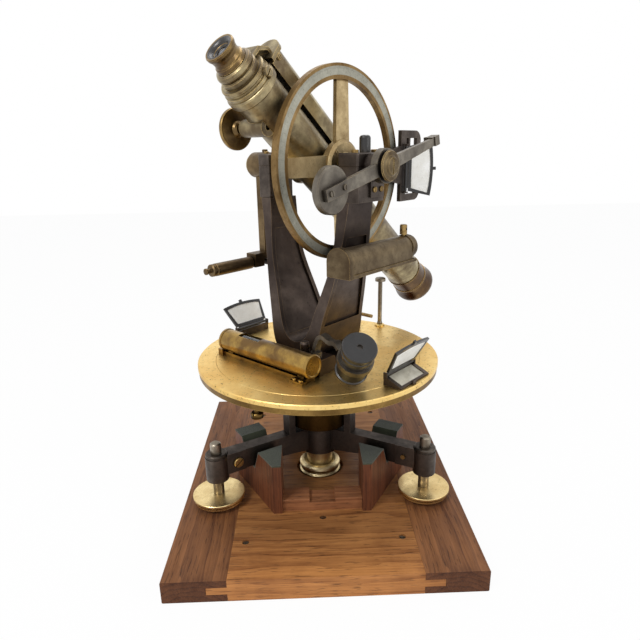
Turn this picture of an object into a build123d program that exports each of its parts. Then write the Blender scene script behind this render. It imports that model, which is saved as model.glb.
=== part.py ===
from build123d import *
import math
import os

# Driving sizes, millimetres and degrees. The origin is the middle of the board's underside.
BOARD_WIDTH = 283.4
BOARD_DEPTH = 346.4
BOARD_THICK = 21.7
PANEL_WIDTH = 170.4
TONGUE_REACH = 18.0
TONGUE_THICK = 7.0
STOP_WIDTH = 80.0
STOP_HEIGHT = 13.1
STOP_DEPTH = 21.0
STOP_FRONT = 83.0
SCOOP_WIDTH = 26.0
SCOOP_DEPTH = 4.2
RECESS_RADIUS = 26.5
RECESS_DEPTH = 6.0
CRADLE_INNER = 57.0
CRADLE_LENGTH = 28.5
CRADLE_FRONT = 86.5
CRADLE_REAR = 38.0
NOTCH_HALF = 20.0
NOTCH_FLOOR_HALF = 9.3
BAIZE = 1.4

ARM_TOP = 76.0
ARM_HEIGHT = 22.0
ARM_WIDTH = 14.0
HUB_RADIUS = 20.0
HUB_BOTTOM = 47.0
HUB_TOP = 81.8
SPIGOT_RADIUS = 23.2
SPIGOT_NECK = 14.4
FOOT_CIRCLE = 122.8
BOSS_RADIUS = 11.5
BOSS_BOTTOM = 49.0
COLLAR_HEIGHT = 4.0
FOOT_SHAFT_RADIUS = 5.5
FOOT_TOP = 89.6
DISC_RADIUS = 26.5
DISC_TOP = 32.6
DISC_THICK = 7.0
CLAMP_AT = 102.7

PLATE_RADIUS = 127.0
PLATE_TOP = 160.0
PLATE_THICK = 4.5
LIMB_THICK = 5.5
LIMB_COLLAR_RADIUS = 33.5
LIMB_COLLAR_TOP = 104.0
LIMB_SPINDLE_RADIUS = 12.0
SPINDLE_RADIUS = 8.0
STEP_RADIUS = 108.0

AZIMUTH = -43.36
DEPRESSION = 39.5
AXIS_HEIGHT = 354.6
PIVOT_RADIUS = 8.0
CENTRE_SHIFT = 3.0

STANDARD_BASE = 33.0
STANDARD_TOP_HALF = 18.0
BEARING_BOTTOM = 323.0
BEARING_TOP = 366.0
BEARING_INNER = 46.0
BEARING_OUTER = 69.0
BEARING_HALF = 20.0
LEFT_OUTER = 62.0

TUBE_RADIUS = 21.0
TUBE_WALL = 2.2
TUBE_NEAR = 99.0
FLANGE_LENGTH = 17.0
COLLAR_LENGTH = 5.4
TUBE_FAR = 205.0
OBJECTIVE_END = 243.0
FLANGE_RADIUS = 23.6
COLLAR_RADIUS = 17.4
DRAW_RADIUS = 15.8
EYE_END = 143.8
EYEPIECE_RADIUS = 10.6
KNOB_RADIUS = 18.2
KNOB_OUT = 31.5
PINION_AT = 75.7
PINION_DROP = 19.4
PINION_RADIUS = 2.4
TUBE_LEVEL_WIDTH = 24.0
TUBE_LEVEL_BASE = 22.6
TUBE_LEVEL_HEIGHT = 20.0
TUBE_LEVEL_NEAR = 107.0
TUBE_LEVEL_LENGTH = 122.0

CIRCLE_RADIUS = 87.1
CIRCLE_INNER = 74.0
CIRCLE_PLACE = 34.0
CIRCLE_THICK = 6.0
BAND_INNER = 77.3
BAND_OUTER = 84.6
CIRCLE_HUB = 23.0
SPOKE_WIDTH = 16.0
SEAT_RADIUS = 12.0

LEVEL_PLACE = -62.0
LEVEL_HEIGHT = 176.0
LEVEL_RADIUS = 11.5
LEVEL_FROM = -76.0
LEVEL_TO = 51.0
CAPSTAN_AT = (24.5, -45.5)

SIDE_PLACE = 75.0
SIDE_WIDTH = 26.0
SIDE_FROM = -55.0
SIDE_TO = 57.5
SIDE_BOTTOM = 262.5
SIDE_TOP = 289.0

WINDOW_INNER = 103.0
WINDOW_OUTER = 122.5
WINDOW_HALF = 24.0
WINDOW_HIGH = 168.3
WINDOW_LOW = 161.5
REFLECTOR_NECK = 45.0
REFLECTOR_WIDE = 55.5
REFLECTOR_LENGTH = 31.0
SIDE_LEAF_LENGTH = 28.6
REFLECTOR_BAR = 3.0
REFLECTOR_THICK = 2.4
HINGE_HEIGHT = 170.4
HINGE_OUT = 105.0
LEAN_LEFT = 36.5
LEAN_RIGHT = 28.0

MAGNIFIER_BASE = (77.0, -39.5, 172.0)
MAGNIFIER_HEAD = (98.5, -54.0, 205.0)
MAGNIFIER_RADIUS = 15.0
MAGNIFIER_PIVOT = (36.0, -42.0)

READER_PLACE = 82.0
READER_THICK = 4.0
READER_SLOPE = 14.0
READER_NEAR = 83.0
READER_FAR = 86.0
DRUM_AT = 69.6
DRUM_RADIUS = 19.5
DRUM_DEPTH = 7.0

CLAMP_PLACE = 75.0
CLAMP_RADIUS = 13.0
CLAMP_OUTER = 85.0
BAR_HALF = 5.0
TANGENT_HEIGHT = 255.5
JAW_REACH = 22.0
PLUNGER_TRAVEL = 1.7
BARREL_FAR = 77.0

POST_AT = (-3.5, 119.0)
POST_TOP = 216.4

GAP = 0.3
FIT = 0.05

# Sizes that follow from the ones above.
BOARD_TOP = BOARD_THICK
STOP_TOP = BOARD_TOP + STOP_HEIGHT
ARM_BOTTOM = ARM_TOP - ARM_HEIGHT
BOSS_TOP = ARM_TOP - 1.5
PLATE_BOTTOM = PLATE_TOP - PLATE_THICK
LIMB_TOP = PLATE_BOTTOM - GAP
LIMB_BOTTOM = LIMB_TOP - LIMB_THICK
FEET = {"left": 210, "right": 330, "rear": 90}


def block(x, y, z):
    """Box between the limits x, y and z, each a pair."""
    size = [b - a for a, b in (x, y, z)]
    return Pos(x[0], y[0], z[0]) * Box(*size, align=(Align.MIN, Align.MIN, Align.MIN))


def rod(start, end, radius):
    """Round bar between two points."""
    a, b = Vector(*start), Vector(*end)
    place = Plane(origin=a, z_dir=(b - a).normalized())
    return place * Cylinder(radius, (b - a).length, align=(Align.CENTER, Align.CENTER, Align.MIN))


def turned(*points):
    """Solid of revolution about Z from (radius, height) points."""
    outline = Polyline(*[(r, 0, z) for r, z in points], close=True)
    return revolve(make_face(outline), Axis.Z)


def plate_xz(points, y_from, y_to):
    """Prism along Y from (x, z) points."""
    face = make_face(Polyline(*[(x, y_from, z) for x, z in points], close=True))
    return extrude(face, amount=y_to - y_from, dir=(0, 1, 0))


def plate_yz(points, x_from, x_to):
    """Prism along X from (y, z) points."""
    face = make_face(Polyline(*[(x_from, y, z) for y, z in points], close=True))
    return extrude(face, amount=x_to - x_from, dir=(1, 0, 0))


def upright(shape):
    """From the alidade's own axes (x along the trunnions, y along the sight) to the frame."""
    return Rot(0, 0, AZIMUTH) * shape


def sighted(shape):
    """From the telescope's own axes (y along the tube, origin on the trunnion axis) to the frame."""
    return upright(Pos(0, 0, AXIS_HEIGHT) * Rot(-DEPRESSION, 0, 0) * shape)


def along_tube(shape):
    """Turns a shape made about Z so that its axis is the telescope's, Z pointing to the far end."""
    return Pos(CENTRE_SHIFT, 0, 0) * Rot(-90, 0, 0) * shape


def across(shape):
    """Turns a shape made about Z so that its axis is the trunnion axis, Z pointing along +X."""
    return Rot(0, 90, 0) * shape


def slotted(radius, height, slot, root=0.0):
    """Cheese-head screw head standing on the XY plane with a straight slot, its shank going down by root."""
    head = Pos(0, 0, -root) * Cylinder(radius, height + root, align=(Align.CENTER, Align.CENTER, Align.MIN))
    head = chamfer(head.edges().group_by(Axis.Z)[-1], height * 0.2)
    cut = Box(3 * radius, slot, height * 0.45, align=(Align.CENTER, Align.CENTER, Align.MAX))
    return head - Pos(0, 0, height) * cut


# The storage board.
def board_panel():
    half, low = PANEL_WIDTH / 2, (BOARD_THICK - TONGUE_THICK) / 2
    depth = (-BOARD_DEPTH / 2, BOARD_DEPTH / 2)
    panel = block((-half, half), depth, (0, BOARD_TOP))
    reach = half + TONGUE_REACH
    panel += block((-reach, reach), depth, (low, low + TONGUE_THICK))
    for x, y in screw_places():
        panel -= Pos(x, y, BOARD_TOP) * Cylinder(3.4, 2 * 3.0)
    return panel - Pos(0, 0, BOARD_TOP) * Cylinder(RECESS_RADIUS, 2 * RECESS_DEPTH)


def screw_places():
    x, y = PANEL_WIDTH * 0.43, BOARD_DEPTH * 0.364
    return [(0, -94.0), (-x, -y), (x, -y), (-x, y), (x, y), (0, 110.0)]


def board_screws():
    low = BOARD_TOP - 3.0
    return Compound([Pos(x, y, low) * slotted(3.35, 1.6, 0.9) for x, y in screw_places()])


def board_rail(side):
    inner, outer = PANEL_WIDTH / 2 + 0.15, BOARD_WIDTH / 2
    low = (BOARD_THICK - TONGUE_THICK) / 2 - 0.15
    depth = (-BOARD_DEPTH / 2, BOARD_DEPTH / 2)
    rail = block((inner, outer), depth, (0, BOARD_TOP))
    rail = fillet(rail.edges().filter_by(Axis.Y).group_by(Axis.X)[-1], 1.2)
    reach = PANEL_WIDTH / 2 + TONGUE_REACH + 0.3
    rail -= block((inner - 1, reach), depth, (low, low + TONGUE_THICK + 0.3))
    return rail if side > 0 else mirror(rail, Plane.YZ)


def front_stop():
    """Low bar between the front cradles with a shallow scoop for the fingers."""
    half, front, scoop = STOP_WIDTH / 2, -STOP_FRONT, SCOOP_WIDTH / 2
    bar = block((-half, half), (front, front + STOP_DEPTH), (BOARD_TOP, STOP_TOP))
    bar = fillet(bar.edges().filter_by(Axis.X).group_by(Axis.Z)[-1], 0.8)
    low = STOP_TOP - SCOOP_DEPTH
    outline = make_face(Polyline((-scoop, front - 1, low), (-scoop, front - 1, STOP_TOP + 1),
                                 (scoop, front - 1, STOP_TOP + 1), (scoop, front - 1, low), close=True))
    return bar - extrude(outline, amount=STOP_DEPTH + 2, dir=(0, 1, 0))


def notch(lift):
    """V notch across a cradle, (across, height) points, raised by lift."""
    floor = ARM_BOTTOM - GAP - BAIZE
    return [(-NOTCH_HALF, ARM_TOP + 9), (-NOTCH_HALF, ARM_TOP - BAIZE + lift),
            (-NOTCH_FLOOR_HALF, floor + lift), (NOTCH_FLOOR_HALF, floor + lift),
            (NOTCH_HALF, ARM_TOP - BAIZE + lift), (NOTCH_HALF, ARM_TOP + 9)]


def trim_cradle(shape, name):
    """Cuts a cradle of a front arm square to the board and clear of the front stop."""
    if name == "rear":
        return shape
    keep = -STOP_WIDTH / 2 - 0.2
    region = block((-200, keep), (-CRADLE_FRONT, 200), (0, 120))
    if name == "right":
        region = mirror(region, Plane.YZ)
    return shape & region


def cradle_body(name, low, high, cut):
    reach = CRADLE_REAR + (24.0 if name != "rear" else 0)
    span = {"left": (-CRADLE_REAR, reach), "right": (-reach, CRADLE_REAR),
            "rear": (-CRADLE_REAR, CRADLE_REAR)}[name]
    shape = block((CRADLE_INNER, CRADLE_INNER + CRADLE_LENGTH), span, (low, high))
    if cut:
        shape -= plate_yz(notch(0), CRADLE_INNER - 1, CRADLE_INNER + CRADLE_LENGTH + 1)
    return trim_cradle(Rot(0, 0, FEET[name]) * shape, name)


def cradle(name):
    return cradle_body(name, BOARD_TOP, ARM_TOP - BAIZE, True)


def cradle_baize():
    """Green cloth on the tops and in the notches of the three cradles."""
    pads = []
    for name in FEET:
        whole = cradle_body(name, ARM_BOTTOM - 4, ARM_TOP, False)
        wood = cradle_body(name, ARM_BOTTOM - 8, ARM_TOP - BAIZE, True)
        air = plate_yz(notch(BAIZE), CRADLE_INNER - 1, CRADLE_INNER + CRADLE_LENGTH + 1)
        pads.append(whole - wood - Rot(0, 0, FEET[name]) * air)
    return Compound(pads)


# The tribrach and its three levelling screws.
def tribrach():
    hub = turned((LIMB_SPINDLE_RADIUS + FIT, HUB_BOTTOM), (HUB_RADIUS, HUB_BOTTOM),
                 (HUB_RADIUS, HUB_TOP), (LIMB_SPINDLE_RADIUS + FIT, HUB_TOP))
    half = ARM_WIDTH / 2
    shape = hub
    for turn in FEET.values():
        side = [(HUB_RADIUS - 3, ARM_BOTTOM - 4), (CRADLE_INNER - 4, ARM_BOTTOM), (FOOT_CIRCLE - 4, ARM_BOTTOM + 1),
                (FOOT_CIRCLE - 4, ARM_TOP), (HUB_RADIUS - 3, ARM_TOP)]
        arm = plate_xz(side, -half, half)
        arm += block((CLAMP_AT - 9, FOOT_CIRCLE - 4), (-half - 0.8, half + 0.8), (ARM_BOTTOM, ARM_TOP))
        horn = block((LIMB_COLLAR_RADIUS + 0.7, LIMB_COLLAR_RADIUS + 8), (-half, half), (ARM_TOP, 100))
        arm += horn
        arm += Pos(FOOT_CIRCLE, 0, BOSS_BOTTOM) * Cylinder(
            BOSS_RADIUS, BOSS_TOP - BOSS_BOTTOM, align=(Align.CENTER, Align.CENTER, Align.MIN))
        arm -= Pos(FOOT_CIRCLE, 0, 60) * Cylinder(FOOT_SHAFT_RADIUS + FIT, 80)
        arm -= Pos(FOOT_CIRCLE, 0, BOSS_TOP + 10) * Cylinder(BOSS_RADIUS + 0.4, 20)
        arm -= rod((CLAMP_AT, -20, 65), (CLAMP_AT, 20, 65), 2.3)
        shape += Rot(0, 0, turn) * arm
    bore = Pos(0, 0, HUB_BOTTOM) * Cylinder(LIMB_SPINDLE_RADIUS + FIT, 200)
    return shape - bore


def foot_collars():
    ring = turned((FOOT_SHAFT_RADIUS + FIT, BOSS_TOP), (BOSS_RADIUS - 0.6, BOSS_TOP),
                  (BOSS_RADIUS - 0.6, BOSS_TOP + COLLAR_HEIGHT - 1),
                  (BOSS_RADIUS - 1.8, BOSS_TOP + COLLAR_HEIGHT), (FOOT_SHAFT_RADIUS + FIT, BOSS_TOP + COLLAR_HEIGHT))
    return Compound([Rot(0, 0, t) * Pos(FOOT_CIRCLE, 0, 0) * ring for t in FEET.values()])


def foot_clamp_screws():
    side = ARM_WIDTH / 2 + 0.8
    head = Pos(CLAMP_AT, side, 65) * Rot(-90, 0, 0) * Rot(0, 0, 35) * slotted(5.2, 3.2, 1.3)
    shank = rod((CLAMP_AT, -side - 2.2, 65), (CLAMP_AT, side, 65), 2.25)
    return Compound([Rot(0, 0, t) * (head + shank) for t in FEET.values()])


def foot_shaft(name):
    low = BOARD_TOP + GAP
    r = FOOT_SHAFT_RADIUS
    shape = turned((0, low), (2.2, low), (3.8, low + 1.5), (r - 1.0, DISC_TOP - DISC_THICK),
                   (r - 1.0, DISC_TOP), (r, DISC_TOP), (r, FOOT_TOP - 1.2), (r - 1.2, FOOT_TOP), (0, FOOT_TOP))
    return Rot(0, 0, FEET[name]) * Pos(FOOT_CIRCLE, 0, 0) * shape


def foot_disc(name):
    low, top, r = DISC_TOP - DISC_THICK, DISC_TOP - 0.05, DISC_RADIUS
    bore = FOOT_SHAFT_RADIUS - 1.0 + FIT
    shape = turned((bore, low), (r - 5, low), (r - 1.2, low + 0.9), (r - 1.2, low + 2.6), (r - 2.6, low + 3.2),
                   (r - 2.6, low + 4.0), (r, low + 4.6), (r, top - 0.5), (r - 0.6, top), (bore, top))
    return Rot(0, 0, FEET[name]) * Pos(FOOT_CIRCLE, 0, 0) * shape


def centre_spigot():
    """Brass nose under the hub that stands in the board's recess, with a rounded collar."""
    top, low = HUB_BOTTOM - 0.05, BOARD_TOP - RECESS_DEPTH
    r, neck = SPIGOT_RADIUS, SPIGOT_NECK
    return turned((0, low), (r, low), (r, low + 5), (r - 1.6, low + 6.6), (r - 1.8, low + 8), (r - 0.6, low + 9.4),
                  (r, low + 11.4), (r - 0.6, low + 13.4), (r - 2.4, low + 15), (r - 5, low + 15.6),
                  (neck + 1, low + 14.6), (neck, low + 13.8), (neck, top - 3), (neck + 2, top), (0, top))


# The limb and the vernier plate.
def limb_plate():
    r, bore = PLATE_RADIUS - 0.8, SPINDLE_RADIUS + FIT
    low = HUB_TOP + GAP
    return turned((bore, HUB_BOTTOM + 6), (LIMB_SPINDLE_RADIUS, HUB_BOTTOM + 6), (LIMB_SPINDLE_RADIUS, low),
                  (LIMB_COLLAR_RADIUS - 1, low), (LIMB_COLLAR_RADIUS, low + 1), (LIMB_COLLAR_RADIUS, LIMB_COLLAR_TOP),
                  (58, 118), (98, 138), (r - 9, LIMB_BOTTOM - 1.5), (r - 9, LIMB_BOTTOM), (r, LIMB_BOTTOM),
                  (r, LIMB_TOP), (bore, LIMB_TOP))


def limb_clamp_screw():
    top = LIMB_BOTTOM - 0.05
    screw = Pos(0, 0, top - 10) * slotted(5.8, 5.0, 1.2) + rod((0, 0, top - 5.5), (0, 0, top), 2.6)
    return Rot(0, 0, -119) * Pos(PLATE_RADIUS - 7, 0, 0) * screw


def vernier_plate():
    r = PLATE_RADIUS
    low = HUB_BOTTOM + 8
    shape = turned((0, low), (SPINDLE_RADIUS, low), (SPINDLE_RADIUS, PLATE_BOTTOM), (r, PLATE_BOTTOM),
                   (r, PLATE_TOP - 0.8), (r - 0.8, PLATE_TOP), (STEP_RADIUS + 0.5, PLATE_TOP),
                   (STEP_RADIUS + 0.25, PLATE_TOP - 0.35), (STEP_RADIUS, PLATE_TOP), (0, PLATE_TOP))
    for side in (-1, 1):
        hole = block((WINDOW_INNER + 3, WINDOW_OUTER - 5), (-WINDOW_HALF + 6, WINDOW_HALF - 6),
                     (PLATE_BOTTOM - 1, PLATE_TOP + 1))
        shape -= hole if side > 0 else mirror(hole, Plane.YZ)
    x, y = POST_AT
    foot = Pos(x, y, PLATE_TOP) * turned((3.1, 0), (6, 0), (6, 1.2), (4.6, 2.4), (3.1, 2.4))
    shape += foot
    shape -= Pos(x, y, PLATE_TOP) * Cylinder(3.1, 4)
    return upright(shape)


def window_frames():
    outline = [(WINDOW_INNER, PLATE_TOP), (WINDOW_OUTER, PLATE_TOP), (WINDOW_OUTER, WINDOW_LOW),
               (WINDOW_INNER + 2, WINDOW_HIGH), (WINDOW_INNER, WINDOW_HIGH)]
    frame = plate_xz(outline, -WINDOW_HALF, WINDOW_HALF)
    inner = WINDOW_HALF - 4.5
    frame -= block((WINDOW_INNER + 2.2, WINDOW_OUTER - 2.2), (-inner, inner), (PLATE_TOP - 1, WINDOW_HIGH + 1))
    ear_reach = REFLECTOR_NECK / 2 + 0.5
    for y in (-ear_reach - 1.5, ear_reach):
        ear = block((HINGE_OUT - 2, HINGE_OUT + 2), (y, y + 1.5), (WINDOW_HIGH - 2.5, HINGE_HEIGHT + 2))
        frame += ear
    frame -= rod((HINGE_OUT, -30, HINGE_HEIGHT), (HINGE_OUT, 30, HINGE_HEIGHT), 1.05)
    frame -= rod((HINGE_OUT, -ear_reach + 0.01, HINGE_HEIGHT), (HINGE_OUT, ear_reach - 0.01, HINGE_HEIGHT), 2.0)
    clip = block((WINDOW_OUTER + 0.1, WINDOW_OUTER + 2.2), (-7, -2), (PLATE_TOP, PLATE_TOP + 4))
    frame += clip + block((WINDOW_OUTER - 0.5, WINDOW_OUTER + 0.1), (-7, -2), (PLATE_TOP, PLATE_TOP + 1.2))
    return Compound([upright(frame), upright(mirror(frame, Plane.YZ))])


def window_panes():
    inner = WINDOW_HALF - 4.6
    x0, x1 = WINDOW_INNER + 2.3, WINDOW_OUTER - 2.3
    slope = (WINDOW_HIGH - WINDOW_LOW) / (WINDOW_OUTER - WINDOW_INNER - 2)
    z0 = WINDOW_HIGH - 1.0
    z1 = z0 - slope * (x1 - x0)
    pane = plate_xz([(x0, z0 - 1), (x1, z1 - 1), (x1, z1), (x0, z0)], -inner, inner)
    return Compound([upright(pane), upright(mirror(pane, Plane.YZ))])


# The standards and the bearings on them.
def lyre(points_inner, points_outer):
    """Face between the inner and the outer curve of one standard, in the XZ plane."""
    inner = Spline(*[(x, 0, z) for x, z in points_inner])
    outer = Spline(*[(x, 0, z) for x, z in points_outer])
    top = Line(inner @ 1, outer @ 1)
    foot = Line(outer @ 0, inner @ 0)
    return make_face([inner, top, outer, foot])


INNER_CURVE = [(0, 182), (12, 187), (21, 205), (27.5, 226), (34, 246), (39.6, 266), (42.5, 292), (44, 323)]
OUTER_CURVE = [(0, 166), (26, 174), (34.2, 203), (41.0, 230), (47.2, 258), (52.8, 290), (57.5, 323)]
WAIST = [(36, 160), (34.5, 185), (32.5, 205), (27.5, 235), (23.5, 262), (20, 295), (18.5, 323)]


def waist(inset):
    """Solid that narrows upwards along the sight direction, set in by inset on both sides."""
    right = Spline(*[(0, y - inset, z) for y, z in WAIST])
    left = Spline(*[(0, inset - y, z) for y, z in WAIST])
    face = make_face([right, Line(right @ 1, left @ 1), left, Line(left @ 0, right @ 0)])
    return Pos(-80, 0, 0) * extrude(face, amount=160, dir=(1, 0, 0))


def shifted(curve, distance):
    """The same curve, moved square to itself by distance, outwards when positive."""
    moved = []
    for i, (x, z) in enumerate(curve):
        (x0, z0), (x1, z1) = curve[max(i - 1, 0)], curve[min(i + 1, len(curve) - 1)]
        length = math.hypot(x1 - x0, z1 - z0)
        moved.append((x + distance * (z1 - z0) / length, z - distance * (x1 - x0) / length))
    return moved


def channel(curve, depth):
    """Shallow recess along a curve of the standard, depth deep towards the inside of the metal."""
    near = shifted(curve, -4 * math.copysign(1, depth))
    return extrude(lyre(near, shifted(curve, depth)), amount=40, both=True)


def standard_frame():
    half = extrude(lyre(INNER_CURVE, OUTER_CURVE), amount=45, both=True)
    pockets = channel(OUTER_CURVE[2:-1], -2.4) + channel(INNER_CURVE[1:-1], 2.4)
    half = (half & waist(0)) - (pockets & waist(5.0))
    shape = half + mirror(half, Plane.YZ)
    shape += turned((0, PLATE_TOP), (41, PLATE_TOP), (41, PLATE_TOP + 5), (37, PLATE_TOP + 7), (0, PLATE_TOP + 9))
    x, y = MAGNIFIER_PIVOT
    lug = block((x - 5.6, x + 9), (y - 5.5, -24), (PLATE_TOP, PLATE_TOP + 16))
    lug = fillet(lug.edges().filter_by(Axis.X).group_by(Axis.Z)[-1], 3.0)
    shape += lug
    stop = block((-CLAMP_PLACE - 7, -46), (-2.5, 2.5), (TANGENT_HEIGHT - 7, TANGENT_HEIGHT - 0.6))
    shape += stop
    lift = BEARING_BOTTOM - 0.1
    shape = shape & block((-200, 200), (-200, 200), (PLATE_TOP, lift))
    shape -= Pos(x, y, PLATE_TOP + 16) * Cylinder(2.6, 20)
    return upright(shape)


def bearing(inner, outer, half, sleeve):
    """Bearing block with its cap parted by a fine groove; x from inner to outer."""
    middle = AXIS_HEIGHT
    shape = block((inner, outer), (-half, half), (BEARING_BOTTOM, BEARING_TOP))
    shape = fillet(shape.edges().filter_by(Axis.Z), 2.0)
    shape = chamfer(shape.edges().group_by(Axis.Z)[-1], 1.2)
    groove = block((inner - 1, outer + 1), (-half - 1, half + 1), (middle - 0.3, middle + 0.3))
    core = block((inner + 0.8, outer - 0.8), (-half + 0.8, half - 0.8), (middle - 1, middle + 1))
    shape -= groove - core
    if sleeve:
        shape += Pos(outer, 0, middle) * across(Cylinder(
            PIVOT_RADIUS + 3, sleeve, align=(Align.CENTER, Align.CENTER, Align.MIN)))
    bore = Pos(inner - 5, 0, middle) * across(Cylinder(
        PIVOT_RADIUS + FIT, 80, align=(Align.CENTER, Align.CENTER, Align.MIN)))
    return shape - bore


def bearing_right():
    sleeve = READER_PLACE + READER_THICK + 2 - BEARING_OUTER
    shape = bearing(BEARING_INNER, BEARING_OUTER, BEARING_HALF, sleeve)
    plate = block((BEARING_OUTER, BEARING_OUTER + 2), (-3, 17), (BEARING_BOTTOM + 4, AXIS_HEIGHT - 14))
    shape += plate
    return upright(shape)


def bearing_left():
    shape = bearing(BEARING_INNER, LEFT_OUTER, STANDARD_TOP_HALF - 1, 0)
    return upright(Rot(0, 0, 180) * shape)


def alidade_fittings():
    """Small brass screws of the bearing caps, and the plate's stop pin with its block."""
    stop = block((-30, -19), (90, 100), (PLATE_TOP + 0.02, PLATE_TOP + 23))
    stop = fillet(stop.edges().filter_by(Axis.Y).group_by(Axis.Z)[-1], 3)
    shapes = [stop + rod((-20, 95, PLATE_TOP + 18.5), (2, 95, PLATE_TOP + 18.5), 2.1)]
    middle = (BEARING_INNER + BEARING_OUTER) / 2 + 4
    for y in (-BEARING_HALF + 6, BEARING_HALF - 6):
        shapes.append(Pos(middle, y, BEARING_TOP) * slotted(3.2, 2.6, 0.9))
        left = (BEARING_INNER + LEFT_OUTER) / 2
        shapes.append(Pos(-left, y * 0.85, BEARING_TOP) * slotted(2.6, 2.2, 0.9))
    for y in (2, 12):
        place = Pos(BEARING_OUTER + 2, y, BEARING_BOTTOM + 11) * Rot(0, 90, 0)
        shapes.append(place * slotted(2.6, 1.4, 0.8))
    return Compound([upright(s) for s in shapes])


def oil_cap():
    middle = (BEARING_INNER + BEARING_OUTER) / 2 + 4
    r = 5.1
    cap = turned((0, 0), (r, 0), (r, 12.5), (r - 0.7, 14), (r - 2.2, 14.8), (0, 14.8))
    return upright(Pos(middle, 0, BEARING_TOP + 0.05) * cap)


# The telescope with its axle and circle.
def telescope_tube():
    near, far, r = TUBE_NEAR, TUBE_FAR, TUBE_RADIUS
    inner, guide, f = r - TUBE_WALL, DRAW_RADIUS + FIT, FLANGE_RADIUS
    step = -near - FLANGE_LENGTH
    shape = turned(
        (guide, step - COLLAR_LENGTH), (COLLAR_RADIUS - 1, step - COLLAR_LENGTH),
        (COLLAR_RADIUS, step - COLLAR_LENGTH + 1), (COLLAR_RADIUS, step), (f - 3, step), (f - 2.2, step + 1),
        (f - 2.2, step + 3), (f - 3, step + 4), (f - 3, step + 5.4), (f - 1.4, step + 6), (f - 1.4, step + 8.6),
        (f - 2, step + 9.2), (f - 0.8, step + 10), (f, step + 11), (f, -near - 1), (f - 0.8, -near), (r, -near),
        (r, far), (inner, far), (inner, -near + 4), (guide, -near + 2))
    tube = along_tube(shape)
    housing = rod((CENTRE_SHIFT - 20, -PINION_AT, -PINION_DROP), (CENTRE_SHIFT + 9, -PINION_AT, -PINION_DROP), 7.6)
    hollow = along_tube(Pos(0, 0, -near + 5) * Cylinder(inner, 150, align=(Align.CENTER, Align.CENTER, Align.MIN)))
    tube += housing - hollow
    keyway = block((CENTRE_SHIFT - 2.3, CENTRE_SHIFT + 2.3), (step + 0.5, -near + 5), (-DRAW_RADIUS - 1.2, -9))
    bore = rod((-60, -PINION_AT, -PINION_DROP), (CENTRE_SHIFT + 9, -PINION_AT, -PINION_DROP), PINION_RADIUS + FIT)
    screw = Pos(CENTRE_SHIFT, step + 6.6, 0) * Rot(0, 74, 0) * Pos(0, 0, f - 1.4) * slotted(4.4, 2.4, 1.2, 3.6)
    small = Pos(CENTRE_SHIFT, -near + 6, 0) * Rot(0, -114, 0) * Pos(0, 0, r) * slotted(2.6, 1.8, 0.9, 0.8)
    return sighted(tube - bore - keyway + screw + small)


def trunnion_axle():
    r, seat = PIVOT_RADIUS, SEAT_RADIUS
    end = READER_PLACE + READER_THICK + 1
    right = turned((0, 8), (17.5, 8), (17.5, 22), (15, 27), (seat, 30.5), (seat, 39.5), (r, 40.5), (r, end), (0, end))
    cap = CLAMP_OUTER + GAP
    left = turned((0, 8), (17.5, 8), (17.5, 19), (15, 24), (seat, 30), (seat, 42), (r, 43), (r, cap),
                  (seat - 1, cap), (seat - 1, cap + 2), (seat - 4, cap + 3.4), (0, cap + 4))
    shape = across(right) + mirror(across(left), Plane.YZ)
    drum = along_tube(Cylinder(TUBE_RADIUS + 0.02, 120))
    return sighted(shape - drum)


def vertical_circle():
    low, high = CIRCLE_PLACE - CIRCLE_THICK / 2, CIRCLE_PLACE + CIRCLE_THICK / 2
    r = CIRCLE_RADIUS
    rim = turned((CIRCLE_INNER, low), (r, low), (r, high), (BAND_OUTER, high), (BAND_OUTER, high - 0.8),
                 (BAND_INNER, high - 0.8), (BAND_INNER, high), (CIRCLE_INNER, high))
    hub = turned((SEAT_RADIUS + 0.03, low), (CIRCLE_HUB, low), (CIRCLE_HUB, high), (CIRCLE_HUB - 3, high + 2),
                 (SEAT_RADIUS + 0.03, high + 2))
    shape = rim + hub
    wide = SPOKE_WIDTH / 2
    for turn in range(4):
        outline = Polyline((CIRCLE_HUB - 4, -wide - 1.5), (CIRCLE_INNER + 1, -wide), (CIRCLE_INNER + 1, wide),
                           (CIRCLE_HUB - 4, wide + 1.5), close=True)
        spoke = Pos(0, 0, low + 1) * extrude(make_face(outline), amount=CIRCLE_THICK - 2)
        shape += Rot(0, 0, DEPRESSION + 90 * turn) * spoke
    for turn in range(4):
        hub_screw = Rot(0, 0, DEPRESSION + 45 + 90 * turn) * Pos(17, 0, high + 2) * slotted(1.8, 0.9, 0.6)
        shape += hub_screw
    return sighted(across(shape))


def circle_limb():
    high = CIRCLE_PLACE + CIRCLE_THICK / 2
    band = turned((BAND_INNER + 0.05, high - 0.75), (BAND_OUTER - 0.05, high - 0.75),
                  (BAND_OUTER - 0.05, high), (BAND_INNER + 0.05, high))
    return sighted(across(band))


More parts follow.
